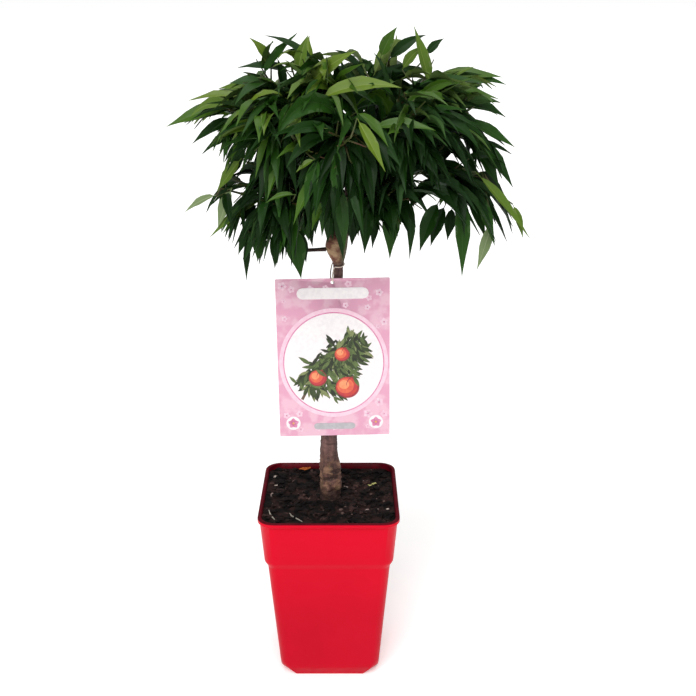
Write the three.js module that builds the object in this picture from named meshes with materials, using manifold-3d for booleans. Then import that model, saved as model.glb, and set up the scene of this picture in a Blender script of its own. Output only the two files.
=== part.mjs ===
// A dwarf peach tree, grafted on a short stem and growing in a square three-litre pot, with a picture card
// tied under its crown. Millimetres, +Z up, the front along -Y. Origin: the centre of the pot's underside.
//
// The plant is built as it grows: a trunk that swells at the graft and runs on as a leader, boughs that leave
// the leader one above another, and on the end of each bough a mass of foliage: a stem with twigs and leaves.
import * as THREE from "three";
import { mergeVertices } from "three/addons/utils/BufferGeometryUtils.js";
import Module from "manifold-3d";

const wasm = await Module();
wasm.setup();

// ---------------------------------------------------------------- driving dimensions

const CLEARANCE = 0.3; // air between two pieces that touch on the real plant
const UP = new THREE.Vector3(0, 0, 1);
const TURN = 2 * Math.PI;
const GOLDEN_ANGLE = (137.5 * Math.PI) / 180; // the turn from one leaf to the next round a twig

const POT = {
  height: 200,
  wall: 1.5,
  floor: 2.5,
  arcSteps: 4, // faces round a corner
  drainRadius: 3.5,
  drainSpacing: 27, // from the centre to each drain hole, along X and along Y
};
// From the base up: height, half width, corner size, and how round the corner is (0 a flat cut, 1 an arc).
const POT_BODY = [
  { z: 0, half: 52.8, corner: 15.5, round: 0 },
  { z: 7.5, half: 54.2, corner: 9.5, round: 0 },
  { z: 10.5, half: 54.7, corner: 9.5, round: 0.75 },
  { z: 15, half: 55.2, corner: 10, round: 1 },
  { z: 141.5, half: 65.5, corner: 11, round: 1 },
  { z: 148.5, half: 68.9, corner: 12, round: 1 },
  { z: 194, half: 72.4, corner: 13, round: 1 },
];
const POT_LIP = [
  { z: POT.height - 5, half: 75, corner: 14.5, round: 1 },
  { z: POT.height, half: 75, corner: 14.5, round: 1 },
];
const SOIL_TOP = 193.5;

// The trunk's centre line and radius, from the cut on the soil to the tip of the leader.
const TRUNK = [
  { x: 0.6, y: 0, z: SOIL_TOP + CLEARANCE, radius: 11.2 },
  { x: 0.9, y: 0, z: 199, radius: 10.9 },
  { x: 1.4, y: 0, z: 208, radius: 11.9 },
  { x: 1.3, y: 0, z: 221, radius: 11.4 },
  { x: 0.7, y: 0, z: 231, radius: 11.6 },
  { x: -0.2, y: 0, z: 243, radius: 10 },
  { x: -0.6, y: 0, z: 251, radius: 9.4 },
  { x: -0.2, y: 0, z: 266, radius: 8.8 },
  { x: 2.2, y: 0, z: 320, radius: 8 },
  { x: 6.4, y: 0, z: 385, radius: 6.5 },
  { x: 10.2, y: 0, z: 438, radius: 4.9 },
  { x: 10.5, y: 0, z: 457, radius: 4.9 },
  { x: 10.2, y: 0, z: 463, radius: 6.4 },
  { x: 9, y: 0, z: 470, radius: 9.6 },
  { x: 8.3, y: 0, z: 478, radius: 11.5 },
  { x: 10, y: 0, z: 487, radius: 10.8 },
  { x: 15, y: 0, z: 497, radius: 8.6 },
  { x: 19.6, y: 0, z: 510, radius: 7.4 },
  { x: 22.5, y: 0, z: 530, radius: 6.4 },
  { x: 25, y: 1, z: 552, radius: 5.4 },
  { x: 27, y: 2, z: 570, radius: 4 },
];
const TRUNK_SIDES = 12;

const BOUGH = {
  footShare: 0.46, // the radius of its foot as a share of the leader's
  tipRadius: 2,
  sides: 5,
  steps: 4,
};
const STEM = { tipRadius: 1.2, sides: 4, steps: 3 };
const TWIG = {
  count: 8, // on each stem
  length: 36,
  radius: 1.4,
  tipRadius: 0.9,
  sides: 3,
  spread: 0.95, // its angle from the stem
  first: 0.7, // where the first one stands, in steps from one to the next
  shorter: 0.36, // how much shorter the last is than the first, as a share
  lengths: [0.88, 1.32], // the range round the rule's length
  swing: 0.3, // how far round the stem it strays from its place
  rise: 0.35, // how strongly it turns up halfway
  sink: 0.3, // and down, at a hang of 1
  nodes: 9, // the places where a leaf may stand
};
const TUFT = { nodes: 9, share: 0.25 }; // leaves on the last part of the stem itself
const LEAF = {
  length: 80,
  lengths: [0.74, 1.1], // the range round that length
  halfWidth: 0.15, // as a share of the length
  widest: 0.42, // where it is widest, as a share of the length
  thickness: 1.1,
  fold: 0.25, // how far its edges rise above its middle, as a share of the half width
  rootDepth: 0.4, // beyond the middle of the twig
  spread: [1.15, 0.55], // its angle from the twig, at the twig's foot and at its tip
  stray: 0.15, // how far that angle varies
  swing: 0.35, // how far round the twig it strays from its place
  tilt: 0.5, // how far it turns about itself
  droop: [0.6, 1.4], // how far it bends down to its tip, at a hang of 1
  outward: 0.8, // how strongly its face turns to the outside of the crown
  along: 0.4, // and to the end of its twig
  tries: 16, // how often it turns on round its twig to find room, before it is left out
};
const NODE_INSET = 0.04; // keeps the last node of a twig within its end
const OUTWARD = 0.35; // how strongly twigs and leaves turn to the outside of the crown
const FIRST_SEED = 41; // the first mass's seed, from which the others count on

// Each bough and its mass of foliage. foot: the height at which it leaves the leader. tip: where its last
// shoot ends. arch: how far the limb's control point rises above both. hang: how strongly its leaves droop.
// lead: the point of its leading leaf, where that is one of the crown's furthest tips.
const MASSES = [
  { name: "low_left", foot: 496, tip: [-84, -16, 532], arch: 24, hang: 1.3, lead: [-139, -26, 517] },
  { name: "low_right", foot: 498, tip: [128, -24, 548], arch: 26, hang: 1.4, lead: [199, -44, 494] },
  { name: "low_front_left", foot: 505, tip: [-46, -62, 530], arch: 16, hang: 1.6 },
  { name: "low_front_right", foot: 507, tip: [62, -68, 534], arch: 16, hang: 1.6 },
  { name: "low_back_left", foot: 509, tip: [-38, 68, 530], arch: 16, hang: 1.4 },
  { name: "low_back_right", foot: 511, tip: [78, 70, 534], arch: 16, hang: 1.4 },
  { name: "front", foot: 517, tip: [16, -98, 592], arch: 18, hang: 1.4 },
  { name: "left", foot: 519, tip: [-94, -4, 612], arch: 12, hang: 1.1, lead: [-156, -14, 598] },
  { name: "right", foot: 521, tip: [138, 4, 610], arch: 16, hang: 0.9, lead: [185, -4, 577] },
  { name: "back", foot: 523, tip: [26, 100, 590], arch: 20, hang: 1.3 },
  { name: "front_left", foot: 531, tip: [-48, -62, 604], arch: 14, hang: 1.3 },
  { name: "front_right", foot: 533, tip: [82, -66, 602], arch: 14, hang: 1.3 },
  { name: "back_right", foot: 535, tip: [94, 68, 604], arch: 12, hang: 1.1 },
  { name: "back_left", foot: 537, tip: [-46, 68, 604], arch: 12, hang: 1.1 },
  { name: "upper_right", foot: 547, tip: [94, -8, 630], arch: 4, hang: 0.6, lead: [82, -14, 692] },
  { name: "upper_left", foot: 549, tip: [-56, -8, 632], arch: 4, hang: 0.8, lead: [-73, -14, 681] },
  { name: "top_front", foot: 557, tip: [-4, -40, 636], arch: 8, hang: 1, lead: [-16, -34, 684] },
  { name: "top_back", foot: 561, tip: [48, 34, 640], arch: 8, hang: 0.9, lead: [98, 22, 683] },
];
const CREST = 0.45; // where a limb's control point stands, as a share of the way out
const ENTER = 0.45; // the share of the way at which a bough ends and its mass begins
const SPACE_SHARE = 0.85; // where on the way out the middle of a mass's space stands
const SPACE_DROP = 16; // and how far it hangs below the limb there, at a hang of 1

// The crown's outline from the front, from its skirt to its top: how far the leaves reach to each side.
const CROWN_EDGE = [
  { z: 442, left: -88, right: 152 },
  { z: 470, left: -102, right: 174 },
  { z: 492, left: -116, right: 207 },
  { z: 515, left: -145, right: 192 },
  { z: 545, left: -112, right: 188 },
  { z: 577, left: -126, right: 188 },
  { z: 598, left: -160, right: 186 },
  { z: 622, left: -138, right: 180 },
  { z: 643, left: -98, right: 174 },
  { z: 660, left: -88, right: 142 },
  { z: 682, left: -76, right: 116 },
  { z: 694, left: -40, right: 92 },
];
const CROWN = {
  x: 22, // the middle, between the reach to the left and to the right
  depth: 0.86, // its reach to the front and back, as a share of half its width
  skirtTilt: 0.27, // how fast its lower edge rises towards the front
};
const SADDLE = { x: 24, fall: 26, halfWidth: 32 }; // where its top sinks, between the upper masses
// Where the skirt parts, round the neck and between two masses: its lower edge rises there.
const PARTINGS = [
  { x: 6, rise: 44, halfWidth: 20 },
  { x: 94, rise: 66, halfWidth: 8 },
];

const CARD = {
  width: 117.2,
  height: 173.8,
  thickness: 0.6,
  back: -10.6,
  top: 446.4,
  x: 4.5,
  tilt: 0.011, // its right side stands higher
  turn: 0.025, // and further back
};
const CARD_HOLE = { x: 4.5, drop: 4, radius: 2 }; // left of the neck, where the tie comes down
const HOLE_STEPS = 10;
const TIE = {
  radius: 0.6,
  height: 458.6,
  dip: 2, // how much lower its front hangs
  reach: 6.6, // from the middle of the neck to the middle of the cord
  lift: 0.6, // how far above the hole's middle it goes through
  turnUp: 1.2, // and how much further up it has turned, outside the hole
  overCard: 2, // where it is free of the card, above its top
  backShift: 1.6, // how far its back strand stands to the left of its front one
  sides: 5,
  steps: 32,
};

// ---------------------------------------------------------------- materials

function material(colour, roughness) {
  return new THREE.MeshStandardMaterial({ color: colour, roughness, metalness: 0 });
}
const PAINT = {
  pot: material(0xd80f2c, 0.35),
  soil: material(0x241a17, 0.95),
  bark: material(0x6d5348, 0.85),
  foliage: material(0x2f5a1e, 0.45),
  card: material(0xf3bcd3, 0.4),
  tie: material(0xe6d6cc, 0.6),
};

// ---------------------------------------------------------------- solids

// A closed geometry as a manifold-3d solid.
function solidOf(geometry) {
  geometry.deleteAttribute("normal");
  geometry.deleteAttribute("uv");
  const merged = mergeVertices(geometry, 1e-5);
  return new wasm.Manifold(
    new wasm.Mesh({
      numProp: 3,
      vertProperties: new Float32Array(merged.attributes.position.array),
      triVerts: new Uint32Array(merged.index.array),
    }),
  );
}

// The largest body of a solid, without loose scraps and sealed hollows.
function mainBody(solid) {
  return solid.decompose().reduce((best, body) => (body.volume() > best.volume() ? body : best));
}

function meshOf(name, solid, paint) {
  const { vertProperties, triVerts } = solid.getMesh();
  const geometry = new THREE.BufferGeometry();
  geometry.setAttribute("position", new THREE.BufferAttribute(new Float32Array(vertProperties), 3));
  geometry.setIndex(new THREE.BufferAttribute(new Uint32Array(triVerts), 1));
  geometry.computeVertexNormals();
  const mesh = new THREE.Mesh(geometry, paint);
  mesh.name = name;
  return mesh;
}

// Skins a row of rings, each with the same number of points, and caps or joins its two ends.
function skin(rings, joined = false) {
  const count = rings[0].length;
  const positions = rings.flat().flatMap((point) => [point.x, point.y, point.z]);
  const faces = [];
  const bands = joined ? rings.length : rings.length - 1;
  for (let band = 0; band < bands; band++) {
    const low = band * count;
    const high = ((band + 1) % rings.length) * count;
    for (let i = 0; i < count; i++) {
      const j = (i + 1) % count;
      faces.push(low + i, low + j, high + j, low + i, high + j, high + i);
    }
  }
  if (!joined) {
    const last = (rings.length - 1) * count;
    for (let i = 1; i < count - 1; i++) {
      faces.push(0, i + 1, i, last, last + i, last + i + 1);
    }
  }
  const geometry = new THREE.BufferGeometry();
  geometry.setAttribute("position", new THREE.Float32BufferAttribute(positions, 3));
  geometry.setIndex(faces);
  return geometry;
}

// A unit vector square to the direction, as level as can be.
function levelSide(direction) {
  const side = new THREE.Vector3().crossVectors(direction, UP);
  return side.lengthSq() < 1e-4 ? new THREE.Vector3(1, 0, 0) : side.normalize();
}

// A unit vector square to the direction, at that angle round it.
function square(direction, angle) {
  const side = levelSide(direction);
  const over = new THREE.Vector3().crossVectors(direction, side).normalize();
  return side.multiplyScalar(Math.cos(angle)).addScaledVector(over, Math.sin(angle));
}

// A limb: a tube along a line, with a heading and a radius at each of its points.
function tube({ line, headings, radii }, sides, joined = false) {
  const rings = line.map((point, i) =>
    Array.from({ length: sides }, (_, k) =>
      point.clone().addScaledVector(square(headings[i], (k * TURN) / sides), radii[i]),
    ),
  );
  return solidOf(skin(rings, joined));
}

// What a row of sections measures at a height, and beyond its last section as if it ran straight on.
function sectionAt(sections, z) {
  const found = sections.findIndex((section) => section.z >= z);
  const upper = found < 0 ? sections.length - 1 : Math.max(1, found);
  const [a, b] = [sections[upper - 1], sections[upper]];
  const share = (z - a.z) / (b.z - a.z);
  return Object.fromEntries(Object.keys(a).map((key) => [key, a[key] + (b[key] - a[key]) * share]));
}

// ---------------------------------------------------------------- pot and soil

function potRing({ z, half, corner, round }) {
  const ring = [];
  for (let quarter = 0; quarter < 4; quarter++) {
    const turn = (quarter * TURN) / 4;
    for (let step = 0; step <= POT.arcSteps; step++) {
      const share = step / POT.arcSteps;
      const angle = (share * TURN) / 4;
      const flat = { x: half - corner * share, y: half - corner * (1 - share) };
      const arc = { x: half - corner * (1 - Math.cos(angle)), y: half - corner * (1 - Math.sin(angle)) };
      const x = flat.x + (arc.x - flat.x) * round;
      const y = flat.y + (arc.y - flat.y) * round;
      ring.push(new THREE.Vector3(x, y, z).applyAxisAngle(UP, turn));
    }
  }
  return ring;
}

// What fills the body between two heights, an inset in from its outside.
function insideSolid(inset, bottom, top) {
  const between = POT_BODY.filter((ring) => ring.z > bottom && ring.z < top);
  const cornerLoss = (2 - Math.SQRT2) * inset; // what an inset takes off a corner cut at 45 degrees
  const rings = [sectionAt(POT_BODY, bottom), ...between, sectionAt(POT_BODY, top)].map((ring) =>
    potRing({ ...ring, half: ring.half - inset, corner: ring.corner - cornerLoss }),
  );
  return solidOf(skin(rings));
}

function drain(x, y) {
  const hole = new THREE.CylinderGeometry(POT.drainRadius, POT.drainRadius, 4 * POT.floor, 10);
  return solidOf(hole.rotateX(TURN / 4).translate(x, y, 0));
}

function makePot() {
  let pot = solidOf(skin([...POT_BODY, ...POT_LIP].map(potRing)));
  pot = pot.subtract(insideSolid(POT.wall, POT.floor, POT.height + 1));
  for (const x of [-POT.drainSpacing, POT.drainSpacing]) {
    for (const y of [-POT.drainSpacing, POT.drainSpacing]) {
      pot = pot.subtract(drain(x, y));
    }
  }
  return meshOf("pot", pot, PAINT.pot);
}

function makeSoil() {
  return meshOf("soil", insideSolid(POT.wall + CLEARANCE, POT.floor + CLEARANCE, SOIL_TOP), PAINT.soil);
}

// ---------------------------------------------------------------- trunk and boughs

// The trunk, or with something extra all round, the room that a bough's foot leaves to it.
function trunkSolid(extra = 0) {
  const rings = TRUNK.map(({ x, y, z, radius }, i) =>
    Array.from({ length: TRUNK_SIDES }, (_, k) => {
      const angle = (k * TURN) / TRUNK_SIDES;
      const reach = radius + extra;
      const height = i === TRUNK.length - 1 ? z + extra : z;
      return new THREE.Vector3(x + reach * Math.cos(angle), y + reach * Math.sin(angle), height);
    }),
  );
  return solidOf(skin(rings));
}

// The curve that a bough and its mass's stem follow, from the middle of the leader to the last shoot.
function axisOf({ foot, tip, arch }) {
  const { x, y } = sectionAt(TRUNK, foot);
  const start = new THREE.Vector3(x, y, foot);
  const end = new THREE.Vector3(...tip);
  const crest = start.clone().lerp(end, CREST);
  crest.z = Math.max(start.z, end.z) + arch;
  return new THREE.QuadraticBezierCurve3(start, crest, end);
}

// A tapering limb between two places on its curve.
function limbOn(curve, from, to, steps, startRadius, endRadius) {
  const shares = Array.from({ length: steps + 1 }, (_, i) => i / steps);
  return {
    line: shares.map((share) => curve.getPoint(from + (to - from) * share)),
    headings: shares.map((share) => curve.getTangent(from + (to - from) * share)),
    radii: shares.map((share) => startRadius + (endRadius - startRadius) * share),
  };
}

function layOut(mass) {
  const axis = axisOf(mass);
  const footRadius = BOUGH.footShare * sectionAt(TRUNK, mass.foot).radius;
  const step = 0.01; // of the way, short enough to be straight
  const gap = (CLEARANCE * step) / axis.getPoint(ENTER).distanceTo(axis.getPoint(ENTER + step));
  mass.axis = axis;
  mass.bough = limbOn(axis, 0, ENTER, BOUGH.steps, footRadius, BOUGH.tipRadius);
  mass.stem = limbOn(axis, ENTER + gap, 1, STEM.steps, BOUGH.tipRadius, STEM.tipRadius);
  mass.middle = axis.getPoint(SPACE_SHARE).addScaledVector(UP, -SPACE_DROP * mass.hang);
}

function makeBough(mass, trunkSpace) {
  const whole = tube(mass.bough, BOUGH.sides);
  return meshOf(`bough_${mass.name}`, mainBody(whole.subtract(trunkSpace)), PAINT.bark);
}

// ---------------------------------------------------------------- foliage

// Park and Miller's generator, so that a mass grows the same way each time.
function dice(seed) {
  let state = (seed * 48271) % 2147483647;
  return (low, high) => {
    state = (state * 16807) % 2147483647;
    return low + ((high - low) * state) / 2147483647;
  };
}

function inCrown({ x, y, z }) {
  const rises = PARTINGS.map((parting) => {
    const aside = (x - parting.x) / parting.halfWidth;
    return parting.rise * Math.exp(-(aside ** 2));
  });
  const skirt = CROWN_EDGE[0].z + Math.max(...rises) + CROWN.skirtTilt * Math.max(0, -y);
  const top = CROWN_EDGE.at(-1).z - SADDLE.fall * Math.exp(-(((x - SADDLE.x) / SADDLE.halfWidth) ** 2));
  if (z < skirt || z > top) return false;
  const { left, right } = sectionAt(CROWN_EDGE, z);
  const reach = x > CROWN.x ? right - CROWN.x : CROWN.x - left;
  const depth = (CROWN.depth * (right - left)) / 2;
  return ((x - CROWN.x) / reach) ** 2 + (y / depth) ** 2 < 1;
}

// A mass keeps to its own side of the walls that stand halfway to the other masses.
function inOwnSpace(mass, point) {
  if (!inCrown(point)) return false;
  return MASSES.every((other) => {
    if (other === mass) return true;
    const across = new THREE.Vector3().subVectors(other.middle, mass.middle).normalize();
    const halfway = mass.middle.clone().lerp(other.middle, 0.5);
    return new THREE.Vector3().subVectors(point, halfway).dot(across) < -CLEARANCE;
  });
}

// The air between a point and a limb.
function airTo({ line, radii }, point) {
  const segment = new THREE.Line3();
  const nearest = new THREE.Vector3();
  let air = Infinity;
  for (let i = 0; i < line.length - 1; i++) {
    segment.set(line[i], line[i + 1]);
    const share = segment.closestPointToPointParameter(point, true);
    const radius = radii[i] + (radii[i + 1] - radii[i]) * share;
    air = Math.min(air, segment.at(share, nearest).distanceTo(point) - radius);
  }
  return air;
}

// Whether a stretch this wide to each side keeps to its mass's space and touches no limb of another node.
function isFree(mass, obstacles, from, to, halfWidth) {
  return [0.25, 0.5, 0.75, 1].every((share) => {
    const point = from.clone().lerp(to, share);
    if (!inOwnSpace(mass, point)) return false;
    return obstacles.every((limb) => limb === mass.stem || airTo(limb, point) > halfWidth + CLEARANCE);
  });
}

// The rings of a leaf that droops as it goes, folded like a boat, from a root that is sunk in its twig.
function leafRings({ root, heading, facing, length, droop }) {
  const stations = [
    { at: 0, half: 0, keel: 0 },
    { at: LEAF.widest, half: LEAF.halfWidth * length, keel: LEAF.thickness },
    { at: 1, half: 0, keel: 0 },
  ];
  const lean = (at) => heading.clone().addScaledVector(UP, -droop * at).normalize();
  const middle = root.clone();
  return stations.map(({ at, half, keel }, i) => {
    const before = stations[i - 1]?.at ?? 0;
    middle.addScaledVector(lean((before + at) / 2), (at - before) * length);
    const side = new THREE.Vector3().crossVectors(lean(at), facing).normalize();
    const face = new THREE.Vector3().crossVectors(side, lean(at));
    const edge = middle.clone().addScaledVector(face, LEAF.fold * half);
    return [
      edge.clone().addScaledVector(side, half),
      middle.clone().addScaledVector(face, -keel),
      edge.clone().addScaledVector(side, -half),
    ];
  });
}

function leafIsFree(mass, obstacles, rings) {
  const middles = rings.map(([left, , right]) => left.clone().lerp(right, 0.5));
  const halves = rings.map(([left, , right]) => left.distanceTo(right) / 2);
  return rings.every(
    (ring, i) =>
      ring.every((corner) => inOwnSpace(mass, corner)) &&
      (i === 0 || isFree(mass, obstacles, middles[i - 1], middles[i], Math.max(halves[i - 1], halves[i]))),
  );
}

// A leaf at a node: it leaves its twig at an angle and faces the sky and the outside of the crown.
function growLeaf(mass, roll, { point, along, share }, turn) {
  const angle = THREE.MathUtils.lerp(...LEAF.spread, share) + roll(-LEAF.stray, LEAF.stray);
  const out = square(along, turn + roll(-LEAF.swing, LEAF.swing));
  const heading = along.clone().multiplyScalar(Math.cos(angle)).addScaledVector(out, Math.sin(angle));
  const length = LEAF.length * roll(...LEAF.lengths);
  const droop = mass.hang * roll(...LEAF.droop);
  const outward = new THREE.Vector3().subVectors(point, mass.axis.v0).setZ(0).normalize();
  heading.addScaledVector(outward, OUTWARD * mass.hang).normalize();
  const root = point.clone().addScaledVector(heading, -LEAF.rootDepth);
  const facing = UP.clone().addScaledVector(outward, LEAF.outward).addScaledVector(along, LEAF.along);
  facing.applyAxisAngle(heading, roll(-LEAF.tilt, LEAF.tilt));
  return { root, heading, facing, length, droop };
}

// The leaf that goes on from the stem's end to the furthest tip of its mass.
function leadingLeaf({ axis, lead, stem }) {
  const way = new THREE.Vector3(...lead).sub(axis.v2);
  const heading = way.clone().normalize();
  const root = axis.v2.clone().addScaledVector(heading, -LEAF.rootDepth * stem.radii.at(-1));
  return { root, heading, facing: UP.clone(), length: root.distanceTo(axis.v2) + way.length(), droop: 0 };
}

// A twig leaves the stem at an angle and then turns up, or down where the mass hangs.
function growTwig(mass, roll, k) {
  const share = (k + TWIG.first) / TWIG.count;
  const t = ENTER + (1 - ENTER) * share;
  const start = mass.axis.getPoint(t);
  const trend = mass.axis.getTangent(t);
  const turn = k * GOLDEN_ANGLE + roll(-TWIG.swing, TWIG.swing);
  const length = TWIG.length * (1 - TWIG.shorter * share) * roll(...TWIG.lengths);
  const outward = new THREE.Vector3().subVectors(start, mass.axis.v0).setZ(0).normalize();
  const heading = trend.clone().multiplyScalar(Math.cos(TWIG.spread));
  heading.addScaledVector(square(trend, turn), Math.sin(TWIG.spread));
  heading.addScaledVector(outward, OUTWARD * mass.hang).normalize();
  const bent = heading.clone().addScaledVector(UP, TWIG.rise - TWIG.sink * mass.hang).normalize();
  const knee = start.clone().addScaledVector(heading, length / 2);
  const end = knee.clone().addScaledVector(bent, length / 2);
  const radii = [TWIG.radius, TWIG.radius, TWIG.tipRadius];
  return { line: [start, knee, end], headings: [heading, bent, bent], radii, turn };
}

function twigNode({ line, headings, turn }, n) {
  const share = (n + 1) / TWIG.nodes;
  const half = share <= 0.5 ? 0 : 1;
  const point = line[half].clone().lerp(line[half + 1], 2 * share - half - NODE_INSET);
  return { point, along: headings[half], share, turn: turn + n * GOLDEN_ANGLE };
}

function tuftNode(mass, n) {
  const share = (n + 1) / TUFT.nodes;
  const t = 1 - (1 - ENTER) * (TUFT.share * (1 - share) + NODE_INSET / 4);
  return { point: mass.axis.getPoint(t), along: mass.axis.getTangent(t), share, turn: n * GOLDEN_ANGLE };
}

// Grows a mass: its stem, the twigs that have room, and the leaves that touch nothing but their own twig.
function makeMass(mass, seed, obstacles) {
  const roll = dice(seed);
  const stem = tube(mass.stem, STEM.sides);
  const twigs = Array.from({ length: TWIG.count }, (_, k) => growTwig(mass, roll, k)).filter(({ line }) =>
    [0, 1].every((half) => isFree(mass, obstacles, line[half], line[half + 1], TWIG.radius)),
  );
  const wood = [stem, ...twigs.map((twig) => tube(twig, TWIG.sides))];
  const leaves = mass.lead ? [solidOf(skin(leafRings(leadingLeaf(mass))))] : [];
  const addLeaf = (node, own) => {
    for (let n = 0; n < LEAF.tries; n++) {
      const rings = leafRings(growLeaf(mass, roll, node, node.turn + n * GOLDEN_ANGLE));
      if (!leafIsFree(mass, obstacles, rings)) continue;
      const leaf = solidOf(skin(rings));
      const others = [...leaves, ...wood.filter((piece) => piece !== own)];
      if (others.some((other) => !leaf.intersect(other).isEmpty())) continue;
      leaves.push(leaf);
      return;
    }
  };
  twigs.forEach((twig, k) => {
    for (let n = 0; n < TWIG.nodes; n++) addLeaf(twigNode(twig, n), wood[k + 1]);
  });
  for (let n = 0; n < TUFT.nodes; n++) addLeaf(tuftNode(mass, n), stem);
  return meshOf(`foliage_${mass.name}`, mainBody(wasm.Manifold.union([...wood, ...leaves])), PAINT.foliage);
}

// ---------------------------------------------------------------- card and tie

function makeCard() {
  const { width, height, thickness, back, top, x, tilt, turn } = CARD;
  const outline = new THREE.Shape();
  outline.moveTo(-width / 2, -height).lineTo(width / 2, -height).lineTo(width / 2, 0).lineTo(-width / 2, 0);
  const hole = new THREE.Path().absarc(CARD_HOLE.x - x, -CARD_HOLE.drop, CARD_HOLE.radius, 0, TURN, true);
  outline.holes.push(hole);
  const options = { depth: thickness, bevelEnabled: false, curveSegments: HOLE_STEPS };
  const sheet = new THREE.ExtrudeGeometry(outline, options).rotateX(TURN / 4).rotateY(-tilt).rotateZ(turn);
  return meshOf("card", solidOf(sheet.translate(x, back, top)), PAINT.card);
}

// One cord, from behind the card through its hole, up its front, round the trunk's neck and down again.
function tieLimb() {
  const neck = sectionAt(TRUNK, TIE.height);
  const front = CARD.back - CARD.thickness - TIE.radius - CLEARANCE;
  const behind = CARD.back + TIE.radius + CLEARANCE;
  const holeZ = CARD.top - CARD_HOLE.drop + TIE.lift;
  const turned = holeZ + TIE.turnUp;
  const free = CARD.top + TIE.overCard;
  const ring = (degrees) => {
    const angle = (degrees * Math.PI) / 180;
    const deep = Math.sin(angle);
    const x = neck.x + TIE.reach * Math.cos(angle);
    return new THREE.Vector3(x, neck.y + TIE.reach * deep, TIE.height + TIE.dip * deep);
  };
  const route = [
    new THREE.Vector3(CARD_HOLE.x, CARD.back - CARD.thickness / 2, holeZ),
    new THREE.Vector3(CARD_HOLE.x, front, turned),
    new THREE.Vector3(CARD_HOLE.x, front, free),
    ring(228),
    ring(270),
    ring(315),
    ring(0),
    ring(45),
    ring(90),
    ring(135),
    ring(180),
    new THREE.Vector3(CARD_HOLE.x - TIE.backShift, behind, free),
    new THREE.Vector3(CARD_HOLE.x - TIE.backShift / 4, behind, turned),
  ];
  const curve = new THREE.CatmullRomCurve3(route, true, "centripetal");
  const shares = Array.from({ length: TIE.steps }, (_, i) => i / TIE.steps);
  return {
    line: shares.map((share) => curve.getPointAt(share)),
    headings: shares.map((share) => curve.getTangentAt(share)),
    radii: shares.map(() => TIE.radius),
  };
}

// ---------------------------------------------------------------- the whole plant

const plant = new THREE.Group();
plant.add(makePot(), makeSoil(), meshOf("trunk", trunkSolid(), PAINT.bark));

MASSES.forEach(layOut);
const trunkSpace = trunkSolid(CLEARANCE);
MASSES.forEach((mass) => plant.add(makeBough(mass, trunkSpace)));

const tie = tieLimb();
const trunkLimb = {
  line: TRUNK.map(({ x, y, z }) => new THREE.Vector3(x, y, z)),
  radii: TRUNK.map(({ radius }) => radius),
};
const obstacles = [trunkLimb, tie, ...MASSES.flatMap(({ bough, stem }) => [bough, stem])];
MASSES.forEach((mass, i) => plant.add(makeMass(mass, FIRST_SEED + i, obstacles)));

plant.add(makeCard(), meshOf("tie", tube(tie, TIE.sides, true), PAINT.tie));

export default plant;
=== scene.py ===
"""The looks of a dwarf peach tree in a square nursery pot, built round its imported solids.

Sizes are in millimetres, as in the solids, with +Z up and the front along -Y. Meshes are turned to metres
as they are made.
"""

import math

import bpy
import numpy as np
from mathutils import Matrix, Vector, noise


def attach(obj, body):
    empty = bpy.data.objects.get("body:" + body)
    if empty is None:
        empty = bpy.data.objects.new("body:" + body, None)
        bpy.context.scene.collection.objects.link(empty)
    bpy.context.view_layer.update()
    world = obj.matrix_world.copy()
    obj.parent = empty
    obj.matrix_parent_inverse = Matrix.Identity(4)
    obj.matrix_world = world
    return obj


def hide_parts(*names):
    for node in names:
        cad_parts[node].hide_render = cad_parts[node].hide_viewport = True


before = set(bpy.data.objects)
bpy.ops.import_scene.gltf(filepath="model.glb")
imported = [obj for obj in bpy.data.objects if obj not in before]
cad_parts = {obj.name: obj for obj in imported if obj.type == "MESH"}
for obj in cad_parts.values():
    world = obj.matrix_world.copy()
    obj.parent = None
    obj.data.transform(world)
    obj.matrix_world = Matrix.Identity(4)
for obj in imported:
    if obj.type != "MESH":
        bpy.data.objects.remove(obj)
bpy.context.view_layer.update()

MM = 0.001
UP = Vector((0, 0, 1))
TURN = 2 * math.pi
GOLDEN_ANGLE = math.radians(137.5)

# ---------------------------------------------------------------- sizes of the solids

CLEARANCE = 0.3
POT_HEIGHT = 200
POT_WALL = 1.5
POT_FLOOR = 2.5
DRAIN_RADIUS = 3.5
DRAIN_SPACING = 27
# From the base up: height, half width, corner size, and how round the corner is (0 a flat cut, 1 an arc).
POT_BODY = [
    (0, 52.8, 15.5, 0),
    (7.5, 54.2, 9.5, 0),
    (10.5, 54.7, 9.5, 0.75),
    (15, 55.2, 10, 1),
    (141.5, 65.5, 11, 1),
    (148.5, 68.9, 12, 1),
    (194, 72.4, 13, 1),
]
LIP_HALF = 75
LIP_CORNER = 18
# The lip's sections, up its outside and over its top: how far below the pot's top, and how much narrower and
# sharper than its widest one. Its top begins at the third.
LIP = [
    (5.3, 0.8, 0),
    (4.4, 0, 0),
    (1.1, 0, 0),
    (0.3, 0.3, 0.2),
    (0, 1.1, 0.5),
    (0, 2.7, 1.2),
    (0.4, 3.3, 1.5),
]
LIP_TOP = 2
SOIL_TOP = 193.5

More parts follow.
